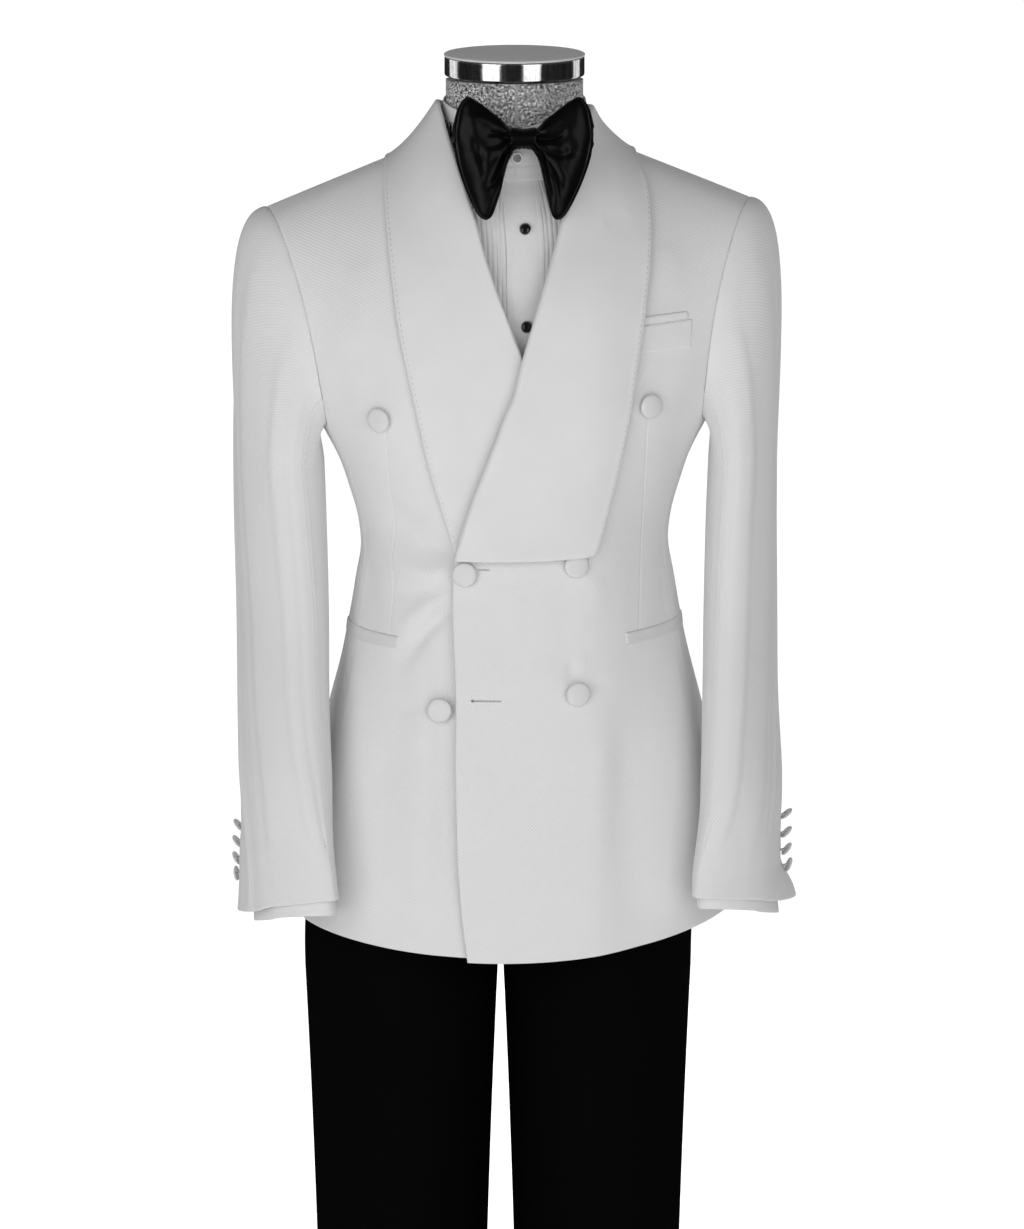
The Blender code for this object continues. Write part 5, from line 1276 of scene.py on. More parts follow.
coveredButton = {
    "radius": 0.0118, "height": 0.0054, "sides": 56,
    "profile": [
        (0.24, 0.14), (0.6, 0.08), (0.88, 0.1), (0.975, 0.22), (1.0, 0.38), (0.985, 0.54), (0.94, 0.68),
        (0.84, 0.8), (0.68, 0.89), (0.48, 0.95), (0.26, 0.985), (0.06, 1.0),
    ],
    "shank": [(0.16, -0.3), (0.2, -0.05), (0.22, 0.2)], "seat": 0.0012,
}
frontButtons = {  # side, x towards that side, z, lean of the face in x and z
    "button_chest_right": (right, 0.1262, 1.289, -0.07, -0.04),
    "button_chest_left": (left, 0.1268, 1.302, 0.1, -0.02),
    "button_waist_right": (left, -0.0452, 1.1435, -0.02, -0.05),
    "button_waist_left": (left, 0.056, 1.152, 0.04, -0.04),
    "button_low_right": (right, 0.07, 1.0135, 0.12, -0.16),
    "button_low_left": (left, 0.058, 1.03, 0.14, -0.18),
}


def makeFrontButton(name, side, x, z, leanX, leanZ):
    values = coveredButton
    radius, height = values["radius"], values["height"]
    g, v = findOnFront(side, x, z)
    out = frontOutward(side, g, v)
    axis = unit(out + np.array((leanX, 0, leanZ)))
    raised = values["seat"] + 0.4 * radius * math.hypot(leanX, leanZ)
    place = frontSkin(side, jacketBody["cloth"])(g, v) + out * raised
    top = turnedPiece(name + "_covered", scaled(values["profile"], radius, height), values["sides"])
    dress(setDown(top, place, axis, 0.4 + 3 * x), buttonSatin, "white_satin", name)
    shank = turnedPiece(name + "_shank", scaled(values["shank"], radius, height), 20)
    dress(setDown(shank, place, axis), whiteThread, "white_wool")


for name, values in frontButtons.items():
    makeFrontButton(name, *values)

cuffButtons = {  # z, how far out, lean
    right: [(0.8845, 0.0066, 40), (0.869, 0.0066, 38), (0.853, 0.0064, 30), (0.8385, 0.0062, 8)],
    left: [(0.8985, 0.0072, 50), (0.882, 0.0072, 44), (0.8665, 0.0076, 38), (0.8515, 0.008, 22)],
}
cuffButton = {"radius": 0.0073, "height": 0.0036, "around": {left: 36, right: 12}}


def makeCuffButton(side, number, z, far, lean):
    radius, height = cuffButton["radius"], cuffButton["height"]
    around = cuffButton["around"][side]
    edge = armRing(side, z, around)
    out = unit(edge - armRing(side, z, around + 180))
    level = unit(np.array((out[0], 0.18, 0.0)))
    axis = level * math.cos(math.radians(lean)) + np.array((0, 0, -math.sin(math.radians(lean))))
    name = f"cuff_button_{sideWord[side]}_{number}"
    profile = [(r * radius, (h - 0.5) * height * 0.85) for r, h in coveredButton["profile"]]
    top = setDown(turnedPiece(name + "_covered", profile, 40), edge + out * far, axis)
    dress(top, buttonSatin, "white_satin", name)
    shank = turnedPiece(name + "_shank", [(0.0012, -far), (0.0016, -far * 0.5), (0.0014, -0.0012)], 16)
    dress(setDown(shank, edge + out * far, out), whiteThread, "white_wool")


for side in (left, right):
    for number, values in enumerate(cuffButtons[side], 1):
        makeCuffButton(side, number, *values)
print("buttons made")


def tubeFaces(rows, cols, start=0):  # round a tube of rings, with one face over each end
    index = start + np.arange(rows * cols).reshape(rows, cols)
    after = np.roll(index, -1, 1)
    sides = np.stack([index[:-1], after[:-1], after[1:], index[1:]], -1).reshape(-1, 4).tolist()
    return sides + [index[0, ::-1].tolist(), index[-1].tolist()]


def threads(name, runs, radius, finish, slot, sides=6):  # a closed tube along each run, all in one piece
    angle = np.linspace(0, 2 * np.pi, sides, endpoint=False)[None, :, None]
    places, faces, start = [], [], 0
    for run in runs:
        way = unit(np.gradient(run, axis=0))
        first = unit(np.cross(way, (0.31, 0.17, 0.93)))  # no thread runs that way
        second = np.cross(way, first)
        around = first[:, None] * np.cos(angle) + second[:, None] * np.sin(angle)
        places.append((run[:, None] + around * radius).reshape(-1, 3))
        faces += tubeFaces(len(run), sides, start)
        start += len(run) * sides
    piece = addPiece(name, np.concatenate(places).tolist(), faces)
    build = bmesh.new()
    build.from_mesh(piece.data)
    bmesh.ops.recalc_face_normals(build, faces=build.faces)
    build.to_mesh(piece.data)
    build.free()
    return dress(piece, finish, slot)


pickStitches = {"pitch": 0.0056, "share": 0.4, "inset": 0.0034, "radius": 0.00024, "lift": 0.00012}


def makePickStitches(side):
    values = pickStitches
    skin = lapelSkin(side)
    length = np.linspace(0.012, lapelShape["shoulderShare"] + 0.02, 900)
    ends = skin(np.array([0.9, 1.0])[None], length[:, None])
    width = np.linalg.norm(ends[:, 1] - ends[:, 0], axis=-1) / 0.1
    share = 1 - values["inset"] / width
    near = skin(np.stack([share - 0.01, share, share + 0.01], 1), length[:, None])
    across, along = unit(near[:, 2] - near[:, 0]), unit(np.gradient(near[:, 1], axis=0))
    out = unit(np.cross(across, along))
    out = np.where((out[:, 1] > 0)[:, None], -out, out)
    place = near[:, 1] + out * (lapelShape["cloth"] + 0.0002 + values["lift"])
    run = runLength(place)
    runs = []
    for k in range(int(run[-1] / values["pitch"])):
        at = np.linspace(0, values["share"], 4) * values["pitch"] + k * values["pitch"]
        dip = np.array([-0.0003, 0.0, 0.0, -0.0003])[:, None]
        line = np.stack([np.interp(at, run, place[:, n]) for n in range(3)], 1)
        normal = np.stack([np.interp(at, run, out[:, n]) for n in range(3)], 1)
        runs.append(line + normal * dip)
    threads(f"pick_stitches_{sideWord[side]}", runs, values["radius"], stitchShadeSilk, "white_satin")


for side in (left, right):
    makePickStitches(side)

buttonholes = {
    "half": 0.0003, "tooth": 0.0007, "pitch": 0.0016, "radius": 0.00014, "eye": (0.0004, 0.0008, 0.0012),
    "eyeOut": 0.0004,
}


def makeButtonhole(name, fromX, toX, z, eyeRadii):  # on the left front, which laps over
    values, runs = buttonholes, []
    across = np.linspace(fromX, toX, int(abs(toX - fromX) / values["pitch"]))
    for way in (-1, 1):
        edge, out = onFront(left, np.linspace(fromX, toX, 60), z + way * values["half"], 0.0002)
        inner = onFront(left, across, z + way * values["half"] * 0.5, 0.00015)[0]
        outer = onFront(left, across, z + way * (values["half"] + values["tooth"]), 0.00005)[0]
        over = mix(inner, outer, 0.5) + np.resize(out, inner.shape) * 0.0002
        runs += [edge, *np.stack([inner, over, outer], 1)]
    # the keyhole's eye: rings of dark thread, painted shade in the hole
    around = np.linspace(0, 2 * np.pi, 22)
    for radius in eyeRadii:
        x = fromX - values["eyeOut"] + radius * np.cos(around)
        runs.append(onFront(left, x, z + radius * np.sin(around), 0.0003)[0])
    threads(name, runs, values["radius"], buttonholeShadeThread, "white_wool", 5)


makeButtonhole("buttonhole_lower", -0.0385, -0.0125, 1.0235, buttonholes["eye"])
makeButtonhole("buttonhole_waist", -0.033, -0.023, 1.148, ())
print("stitches and buttonholes made")

# ---- trousers
trouserShape = {
    "cloth": 0.0012, "axisX": -0.0148, "offset": 0.0952, "width": {left: 0.986, right: 1.014},
    "crotchZ": 0.8,
    "flyTopZ": 0.87, "topZ": 1.056, "hemZ": 0.046, "power": 1.75, "hipPower": 2.2,
    "bandTopZ": 1.092, "bandCloth": 0.0016, "bandCut": (0.905, 0.036, 1.0),
    "cut": {"front": (0.295, 1.02, 0.87), "back": (0.305, 1.02, 0.85)},
}
hips = millimetres("z halfWidth front back", [
    (800, 186, 112, 118), (860, 183, 118, 119.5), (920, 178, 120, 119.5), (980, 169, 119.5, 113.5),
    (1020, 160.5, 118, 105), (1060, 153, 116.5, 96.5), (1100, 146.5, 114.5, 90.5),
])
leg = millimetres("z halfWidth front back", [
    (40, 73.5, 93, 93), (200, 76, 90, 90), (350, 79.5, 87, 88), (485, 83, 86, 89), (612, 87.3, 89, 94),
    (709, 91.3, 94, 101), (745, 92.9, 96, 104), (800, 93.4, 100, 108),
])
legFolds = {  # A is the place from inseam to side seam, 0 to 1, and B the height
    left: table(foldColumns, [
        (0.2, 0.78, 0.62, 0.7, 0.02, 0.05, -0.0026), (0.1, 0.745, 0.5, 0.69, -0.02, 0.05, 0.0018),
        (0.3, 0.43, 0.7, 0.4, 0.03, 0.06, -0.0014), (0.75, 0.64, 0.7, 0.38, 0.02, 0.07, 0.0014),
        (0.25, 0.62, 0.3, 0.3, -0.02, 0.08, -0.0016), (0.35, 0.13, 0.7, 0.09, 0.02, 0.06, -0.002),
        (0.2, 0.11, 0.5, 0.07, -0.02, 0.05, 0.0014),
    ]),
    right: table(foldColumns, [
        (0.18, 0.775, 0.58, 0.705, -0.02, 0.05, -0.0024),
        (0.12, 0.735, 0.48, 0.675, 0.02, 0.05, 0.0018), (0.34, 0.445, 0.72, 0.42, -0.03, 0.06, -0.0013),
        (0.72, 0.65, 0.76, 0.36, -0.02, 0.07, 0.0014), (0.28, 0.6, 0.24, 0.32, 0.02, 0.08, -0.0016),
        (0.3, 0.125, 0.66, 0.098, -0.02, 0.06, -0.0018), (0.24, 0.1, 0.56, 0.074, 0.02, 0.05, 0.0013),
    ]),
}


def legAxisX(z):
    return trouserShape["axisX"] * fade(0.76, 0.96, z)


def trouserPoint(side, behind, c, z):
    name, face = ("back", 1) if behind else ("front", -1)
    c, z = np.broadcast_arrays(np.asarray(c, float), np.asarray(z, float))
    level = np.minimum(z, trouserShape["crotchZ"])
    angle, power = np.pi * (1 - c), 2 / trouserShape["power"]
    half = column(leg, "halfWidth", level) * trouserShape["width"][side]
    x = trouserShape["offset"] + bent(np.cos(angle), power) * half
    lower = point(x, face * np.abs(np.sin(angle)) ** power * column(leg, name, level), z)
    wide, flat = quarter(c, trouserShape["hipPower"])
    high = np.maximum(z, trouserShape["crotchZ"])
    x = 0.0003 + wide * column(hips, "halfWidth", high)
    upper = point(x, face * flat * column(hips, name, high), z)
    found = mix(lower, upper, ease(trouserShape["crotchZ"], trouserShape["flyTopZ"], z)[..., None])
    return point(legAxisX(z) + side * found[..., 0], found[..., 1], found[..., 2])


def makeTrouserPanel(side, behind):
    values = trouserShape
    part = "back" if behind else "front"
    z = spaced(values["topZ"], values["hemZ"], 104, 1.01)[:, None]
    c = spaced(0, 1, 44, 0.24, (0.0006, 0.0014))[None]
    trim = np.where(z > values["crotchZ"], 0.002, 0.0012)
    grid = trouserPoint(side, behind, np.clip(c, trim, 1 - 0.0012), z)
    centre = mix(values["offset"], 0.05, ease(values["crotchZ"], values["flyTopZ"], z))
    core = point(legAxisX(z) + side * centre, 0, z)
    lift = creaseField(c + 0 * z, z + 0 * c, legFolds[side]) * (0.8 if behind else 1.0)
    lift *= fromEdge(grid, 0.014)
    lift += 0.0011 * hump(c - 0.5, 0.012) * fade(0.72, 0.95, z) * fromEdge(grid, 0.01)  # the pressed crease
    name = f"trouser_{sideWord[side]}_{part}"
    piece = cloth(name + "_panel", grid, core, values["cloth"], lift - values["cloth"])
    dress(piece, blackWool, "black_wool", name)
    declare(values["cut"][part])


def makeWaistband():
    values, thick, power = trouserShape, trouserShape["bandCloth"], 2 / trouserShape["hipPower"]
    z = spaced(values["topZ"] + 0.0004, values["bandTopZ"], 10, 0.036)[:, None]
    angle = np.linspace(0, 2 * np.pi, 140, endpoint=False)[None]
    wide, deep = np.sin(angle), np.cos(angle)
    depth = np.where(deep > 0, column(hips, "front", z), column(hips, "back", z)) - thick
    grid = point(bent(wide, power) * (column(hips, "halfWidth", z) - thick), -bent(deep, power) * depth, z)
    piece = cloth("trouser_waistband", grid, point(0, 0, z), thick, closed=True)
    dress(piece, blackWool, "black_wool", "waistband")
    declare(values["bandCut"])


for side in (left, right):
    for behind in (False, True):
        makeTrouserPanel(side, behind)
makeWaistband()
print("trousers made")

# ---- the dress form
formRings = millimetres("z halfWidth front back", [
    (890, 138, 100, 102), (900, 148, 107, 107), (930, 156, 111, 109), (980, 155, 111, 103),
    (1060, 143, 107, 88), (1150, 131, 101, 76), (1220, 144, 105, 83), (1280, 160, 110, 93),
    (1360, 166, 104, 98), (1420, 166, 93, 95), (1455, 150, 84, 88), (1480, 123, 76, 81),
    (1497, 92, 69, 73), (1506, 74, 66, 68), (1512, 66.5, 65.5, 65.5), (1530, 65.5, 65.5, 65.5),
    (1606, 65.5, 65.5, 65.5),
])
formShape = {
    "neckRadius": 0.0655, "bottomZ": 0.89, "topZ": 1.602, "bandRadius": 0.0667, "bandHeight": 0.018,
    "bandZ": 1.606, "capTilt": math.radians(2.5), "capGap": 0.0004, "rodRadius": 0.0125, "rodGap": 0.0004,
    "standRadius": 0.21, "standThickness": 0.01,
}


def neckSlope(z):
    return 0.22 * ease(1.43, 1.51, z) * fade(1.555, 1.6, z)


def formPoint(angle, z, out=0.0):  # 0 is the front, 90 degrees the wearer's left
    angle, z, out = np.broadcast_arrays(*(np.asarray(a, float) for a in (angle, z, out)))
    wide, deep = np.sin(angle), np.cos(angle)
    power = mix(2.3, 2.0, ease(1.44, 1.52, z))
    depth = np.where(deep > 0, column(formRings, "front", z), column(formRings, "back", z)) + out
    x = bent(wide, 2 / power) * (column(formRings, "halfWidth", z) + out)
    y = -bent(deep, 2 / power) * depth
    return point(x, y, z + neckSlope(z) * (y + formShape["neckRadius"]))


def makeFormBody():
    low, high = formShape["bottomZ"], formShape["topZ"]
    z = np.concatenate([np.linspace(low, low + 0.015, 6), np.linspace(low + 0.025, high, 92)])
    angle = np.linspace(0, 2 * np.pi, 120, endpoint=False)
    skin = formPoint(angle[None], z[:, None])
    rows, cols = skin.shape[:2]
    body = addPiece("form_body", skin.reshape(-1, 3).tolist(), tubeFaces(rows, cols))
    for end in list(body.data.polygons)[-2:]:
        end.use_smooth = False
    radius = np.hypot(skin[..., 0], skin[..., 1]).mean(1)
    corner = cornerPoints(body.data)
    around = (angle[None] * radius[:, None]).ravel()[corner]
    # where the cloth meets itself, the first column's far side lies one turn on
    farSide = (np.roll(corner, 1) % cols > cols / 2) | (np.roll(corner, -1) % cols > cols / 2)
    seam = (corner % cols == 0) & farSide
    around[seam] += 2 * np.pi * radius[corner[seam] // cols]
    layFlat(body.data, around, skin[..., 2].ravel()[corner])
    dress(body, formCloth, "form_cloth", "form_torso")


makeFormBody()
tip = Vector((0, -math.sin(formShape["capTilt"]), math.cos(formShape["capTilt"])))
bandBase = Vector((0, 0, formShape["bandZ"]))
radius, height = formShape["bandRadius"], formShape["bandHeight"]
band = turnedPiece("chrome_neck_band", [
    (radius - 0.003, 0.0), (radius - 0.0004, 0.0004), (radius, 0.0014), (radius, 0.0019),
    (radius, height - 0.0019), (radius, height - 0.0014), (radius - 0.0004, height - 0.0004),
    (radius - 0.003, height),
], 160)
dress(setDown(band, bandBase, tip), chromeMetal, "chrome_band", "form_neck_band")
lid = turnedPiece("neck_cap", [
    (radius - 0.0006, 0.0), (radius + 0.0004, 0.0003), (radius + 0.0007, 0.001), (radius + 0.0003, 0.0018),
    (radius - 0.001, 0.0024), (radius * 0.72, 0.0028), (radius * 0.3, 0.003), (radius * 0.05, 0.003),
], 120)
setDown(lid, bandBase + tip * (height + formShape["capGap"]), tip)
dress(lid, capPlastic, "cap_plastic", "form_cap")
thick, gap = formShape["standThickness"], formShape["rodGap"]
length, radius = formShape["bottomZ"] - thick - 2 * gap, formShape["rodRadius"]
for side in (left, right):
    heights = (0.0, 0.05, length - 0.05, length)
    rod = turnedPiece(f"steel_rod_{sideWord[side]}", [(radius, z) for z in heights], 48, 0.0008)
    place = (trouserShape["axisX"] + side * trouserShape["offset"], 0, thick + gap)
    dress(setDown(rod, place), standSteel, "stand_steel", f"form_rod_{sideWord[side]}")
radius = formShape["standRadius"]
plate = turnedPiece("steel_stand", [
    (radius - 0.0006, 0.0), (radius, 0.0008), (radius, thick - 0.0038), (radius - 0.0008, thick - 0.0022),
    (radius - 0.0035, thick), (0.1, thick), (0.008, thick),
], 160)
dress(plate, standSteel, "stand_steel", "form_stand")
print("dress form made")

# ---- shirt
shirtShape = {
    "cloth": 0.001, "out": 0.0034, "placketX": 0.0105, "placketHalf": 0.0175, "pleat": 0.0046, "pleats": 9,
    "firstPleat": 0.0052, "pleatHeight": 0.0013, "collarRadius": 0.0669, "collarWall": 0.0015,
    "collarLow": 1.513, "collarHigh": (1.57, 1.592), "low": 0.95, "high": 1.512,
    "cut": {
        "front": {left: (0.218, 0.58, 0.82), right: (0.24, 0.58, 0.82)}, "back": (0.5, 0.6, 0.9),
        "placket": (0.035, 0.37, 1.0), "sleeve": (0.345, 0.37, 0.93), "collar": (0.425, 0.06, 0.96),
        "cuff": {left: (0.239, 0.046, 1.0), right: (0.252, 0.053, 1.0)},
    },
}


def shirtAngle(x, z):
    x, z = np.broadcast_arrays(np.asarray(x, float), np.asarray(z, float))
    low, high = np.full(x.shape, -np.pi / 2), np.full(x.shape, np.pi / 2)
    return search(low, high, lambda a: formPoint(a, z, shirtShape["out"])[..., 0] < x, 28)


def placketX(z):
    return shirtShape["placketX"] - 0.006 * ease(1.44, 1.53, z)


def neckOut(z):  # the shirt closes in on the form where its collar is sewn on
    return mix(shirtShape["out"], 0.0004, ease(1.496, 1.512, z))


def shirtRows(low, high):
    body, neck = np.linspace(low + 0.007, 1.42, 26), np.linspace(1.424, high, 32)
    return np.concatenate([[low, low + 0.001, low + 0.003], body, neck])[:, None]


def makeShirtFront(side):
    values, word = shirtShape, sideWord[side]
    z = shirtRows(values["low"], values["high"])
    start = side * placketX(z) + values["placketHalf"] - 0.004
    narrow = np.minimum(1.0, column(formRings, "halfWidth", z) / 0.12)
    first, pleat = values["firstPleat"], values["pleat"]
    last = side * formPoint(side * math.radians(80), z, values["out"])[..., 0]
    tucks = np.arange(first, first + pleat * values["pleats"], pleat / 10)
    near = np.concatenate([[0.0, 0.0004, 0.0012, 0.003], tucks])
    offset = near[None] * narrow
    far = mix(start + offset[:, -1:] + 0.0004, last, spaced(0, 1, 30, 0.12)[None])
    x = side * np.concatenate([start + offset, far], 1)
    angle = shirtAngle(np.clip(x, -np.abs(last), np.abs(last)), z)
    grid = formPoint(angle, z, neckOut(z))
    fold = ((near - first) / pleat + 1e-6) % 1.0
    step = np.interp(fold, (0.0, 0.1, 0.6, 0.7, 1.0), (-0.4, 1.0, 0.7, -0.4, -0.4)) * (near >= first)
    relief = np.zeros(x.shape)
    relief[:, : len(near)] = step[None] * values["pleatHeight"] * ease(1.04, 1.12, z)
    lift = 0.0006 * np.sin(z * 41 + side) * np.sin(angle * 7 + z * 9) * fromEdge(grid, 0.02)
    name, core = f"shirt_front_panel_{word}", point(0, 0, z)
    piece = cloth(name, grid, core, values["cloth"], lift, relief, soften=0.0003)
    dress(piece, shirtCotton, "shirt_cotton", f"shirt_front_{word}")
    declare(values["cut"]["front"][side])


def makeShirtPanel(name, grid, thickness, node, cut, relief=None):
    piece = cloth(name, grid, grid * (0, 0, 1), thickness, None, relief, soften=0.0003)
    dress(piece, shirtCotton, "shirt_cotton", node)
    declare(shirtShape["cut"][cut])


for side in (left, right):
    makeShirtFront(side)
z = shirtRows(shirtShape["low"], shirtShape["high"])
grid = formPoint(np.radians(spaced(80.5, 279.5, 60, 0.4))[None], z, neckOut(z))
makeShirtPanel("shirt_back_panel", grid, shirtShape["cloth"], "shirt_back", "back")
z = shirtRows(1.15, shirtShape["high"])
fold = spaced(-1, 1, 40, 0.035, (0.0004, 0.0009))[None]
angle = shirtAngle(placketX(z) + shirtShape["placketHalf"] * fold, z)
grid = formPoint(angle, z, neckOut(z) + shirtShape["cloth"] + 0.0001)
stitched = -0.0003 * hump(np.abs(fold) - 0.74, 0.03) + 0 * z
makeShirtPanel(
    "shirt_placket_strip", grid, 0.0009, "shirt_placket", "placket",
    stitched,
)


def makeShirtCollar():
    angle = spaced(math.radians(0.08), 2 * math.pi - math.radians(0.08), 130, 0.42)[None]
    share = spaced(0, 1, 46, 0.06)[:, None]
    signed = np.where(angle < np.pi, angle, angle - 2 * np.pi)
    back, values = (1 - np.cos(signed)) / 2, shirtShape
    low = values["collarLow"] + 2 * neckSlope(values["collarLow"]) * formShape["neckRadius"] * back
    high = mix(*values["collarHigh"], back**0.8) - 0.01 * hump(signed, 0.55)
    above = mix(low, high, share) - low
    radius = values["collarRadius"] + 0.0006 * fade(0.0, 0.01, above)
    z = low + above - 0.0022 * (1 - share)
    grid = point(radius * np.sin(angle), -radius * np.cos(angle), z)
    seams = [0.0052 + 0.0016 * np.cos(signed), 0.0105 + 0.0032 * np.cos(signed)]
    relief = sum(-0.00035 * hump(above - line, 0.0007) for line in seams)
    relief = relief + 0.0003 * fade(-0.0004, 0.0004, above - seams[1])
    core = point(0, 0, z)
    piece = cloth("shirt_stand_collar", grid, core, values["collarWall"], None, relief, soften=0.0003)
    dress(piece, shirtCotton, "shirt_cotton", "shirt_collar")
    declare(shirtShape["cut"]["collar"])


makeShirtCollar()
shirtCuffs = {
    "low": {left: 0.8157, right: 0.808}, "high": 0.86, "slant": {left: 0.0092, right: 0.0105},
    "longWay": {left: 0.0515, right: 0.055}, "shortWay": 0.0268, "shift": 0.0085, "cloth": 0.0016,
}


def makeShirtSleeve(side):
    cut, thick, word = shirtShape["cut"], shirtShape["cloth"], sideWord[side]
    tube, band = f"shirt_sleeve_tube_{word}", f"shirt_cuff_band_{word}"
    length = spaced(0.28, 0.9, 60, 0.4)[:, None]
    skin = sleeveSkin(side, 0.0052)(np.linspace(0, 360, 60, endpoint=False)[None], length)
    piece = cloth(tube, skin, armCore(side, length), thick, np.full(skin.shape[:2], -thick), closed=True)
    dress(piece, shirtCotton, "shirt_cotton", f"shirt_sleeve_{word}")
    declare(cut["sleeve"])
    values, thick = shirtCuffs, shirtCuffs["cloth"]
    share = spaced(0, 1, 24, 0.045)[:, None]
    a = np.radians(np.linspace(0, 360, 160, endpoint=False))[None]
    low = values["low"][side] - values["slant"][side] * np.cos(a) + 0.003 * np.clip(np.sin(a), 0, 1)
    z = mix(low, values["high"], share)
    longWay = (values["longWay"][side] - thick) * bent(np.cos(a), 1.22) - values["shift"]
    grid = inArm(side, z, longWay, (values["shortWay"] - thick) * bent(np.sin(a), 1.12))
    relief = -0.0003 * hump(edgeDistance(grid, True) - 0.006, 0.0005)
    piece = cloth(band, grid, inArm(side, z), thick, None, relief, True, soften=0.0003)
    dress(piece, shirtCotton, "shirt_cotton", f"shirt_cuff_{word}")
    declare(cut["cuff"][side])


for side in (left, right):
    makeShirtSleeve(side)

studs = {
    "dome": [
        (0.0052, 0.0009), (0.0051, 0.0018), (0.0046, 0.0027), (0.0037, 0.0034), (0.0024, 0.0037),
        (0.0006, 0.0038),
    ],
    "rim": [(0.0054, 0.0), (0.0057, 0.0003), (0.0058, 0.0009), (0.0056, 0.0014), (0.0052, 0.0015)],
}
for name, z in (("shirt_stud_upper", 1.469), ("shirt_stud_lower", 1.377)):
    x = placketX(z) + 0.001
    heights = np.array((z - 0.02, z, z + 0.02))
    onPlacket = formPoint(shirtAngle(x, heights), heights, shirtShape["out"] + shirtShape["cloth"] + 0.0012)
    out = unit(np.cross(onPlacket[2] - onPlacket[0], (-1, 0, 0)))
    place = onPlacket[1] + out * 0.001
    dome, rim = (turnedPiece(f"{name}_{part}", studs[part], 48) for part in ("dome", "rim"))
    dress(setDown(dome, place, out), studBlack, "black_stud", name)
    dress(setDown(rim, place, out), studSilver, "black_stud")

pearl = {
    "radius": 0.0058, "holes": 0.00085, "spread": 0.0015, "thread": 0.00022, "stand": 0.0006,
    "centre": (0.0026, 1.533), "shadedDish": (0.0036, 0.0042),
    "steps": [(0.0004, 1.1), (0.0006, 1.01), (0.0005, 0.96), (0.0004, 0.9), (0.0, 0.86), (-0.0006, 0.9)],
}


def makePearl(name, values):
    finish = Finish(name, Coat_Weight=0.5)
    where = finish.place(3)
    x, _, z = finish.parts(where)
    acrossX, acrossZ = x - values["centre"][0], z - values["centre"][1]
    rim = ((acrossX * acrossX + acrossZ * acrossZ) ** 0.5).between(*values["shadedDish"])
    cloudy = finish.noise(where, 300.0, 2.0)
    # painted shade: the dish inside the rim is dark grey, so that the pearl's white rim stands out
    shadedDish = finish.blend((0.24, 0.24, 0.25), (0.38, 0.38, 0.39), cloudy.between(0.35, 0.65))
    bright = finish.blend((0.9, 0.9, 0.9), (1.0, 1.0, 1.0), cloudy.between(0.35, 0.65))
    return finish.finishWith(finish.blend(shadedDish, bright, rim), cloudy * 0.1 + 0.18, cloudy, 0.05, 0.0001)


pearlShell = makePearl("pearl", pearl)


def makeCollarButton():
    rim, spread = pearl["radius"], pearl["spread"]
    made = startDisc("pearl_button", rim * 0.9, 48)
    drawUp(0, pearl["steps"])
    bpy.ops.mesh.inset(thickness=rim * 0.25, depth=0)
    closeUp()
    for k in range(4):
        angle = math.radians(45 + 90 * k)
        place = (spread * math.cos(angle), spread * math.sin(angle), 0.001)
        choose()
        bpy.ops.mesh.primitive_cylinder_add(vertices=16, radius=pearl["holes"], depth=0.006, location=place)
        drill = bpy.context.object
        cut = made.modifiers.new("hole", "BOOLEAN")
        cut.object, cut.operation, cut.solver = drill, "DIFFERENCE", "EXACT"
        choose(made)
        bpy.ops.object.modifier_apply(modifier=cut.name)
        bpy.data.objects.remove(drill)
    bpy.ops.object.shade_smooth_by_angle(angle=math.radians(35))
    x, z = pearl["centre"]
    place = (x, -shirtShape["collarRadius"] - shirtShape["collarWall"] - pearl["stand"], z)
    axis = unit(np.array((0.03, -1, 0)))
    dress(setDown(made, place, axis), pearlShell, "pearl_button", "collar_button")
    runs = []
    for way in (-1, 1):
        reach, high = spread * 0.75, np.array((-0.0006, 0.00036, 0.0006, 0.00036, -0.0006)) + 0.001
        runs.append(point(np.array((-reach, -reach, 0, reach, reach)), way * reach, high))
    stitch = threads("pearl_button_thread", runs, pearl["thread"], whiteThread, "shirt_cotton")
    setDown(stitch, place, axis)


makeCollarButton()
print("shirt made")

# ---- bow tie
bowWing = millimetres("x low high depth", [
    (0, -10, 8.5, 4), (4.5, -30, 14.5, 7.5), (11, -55, 20.5, 10.5), (16.5, -70, 25, 12),
    (22.8, -73, 30, 12.5), (30, -67, 35, 12), (39.5, -48, 38.5, 10), (47.5, -25, 28.5, 7),
    (51.5, -4, 11, 3.5),
])
bowShape = {
    "cloth": 0.002, "knot": (0.0085, -0.0925, 1.5525), "knotHalf": 0.0118, "knotSize": (0.0102, 0.0125),
    "knotBack": 0.008, "sway": {left: -0.05, right: 0.0}, "backCloth": 0.8,
    "strap": 0.0012, "strapGap": 0.0004, "strapZ": (1.553, 1.566), "strapHigh": 0.013, "clasp": 0.0021,
    "cut": {"wing": (0.074, 0.108, 0.64), "knot": (0.064, 0.026, 1.0), "band": (0.432, 0.0138, 1.0)},
}
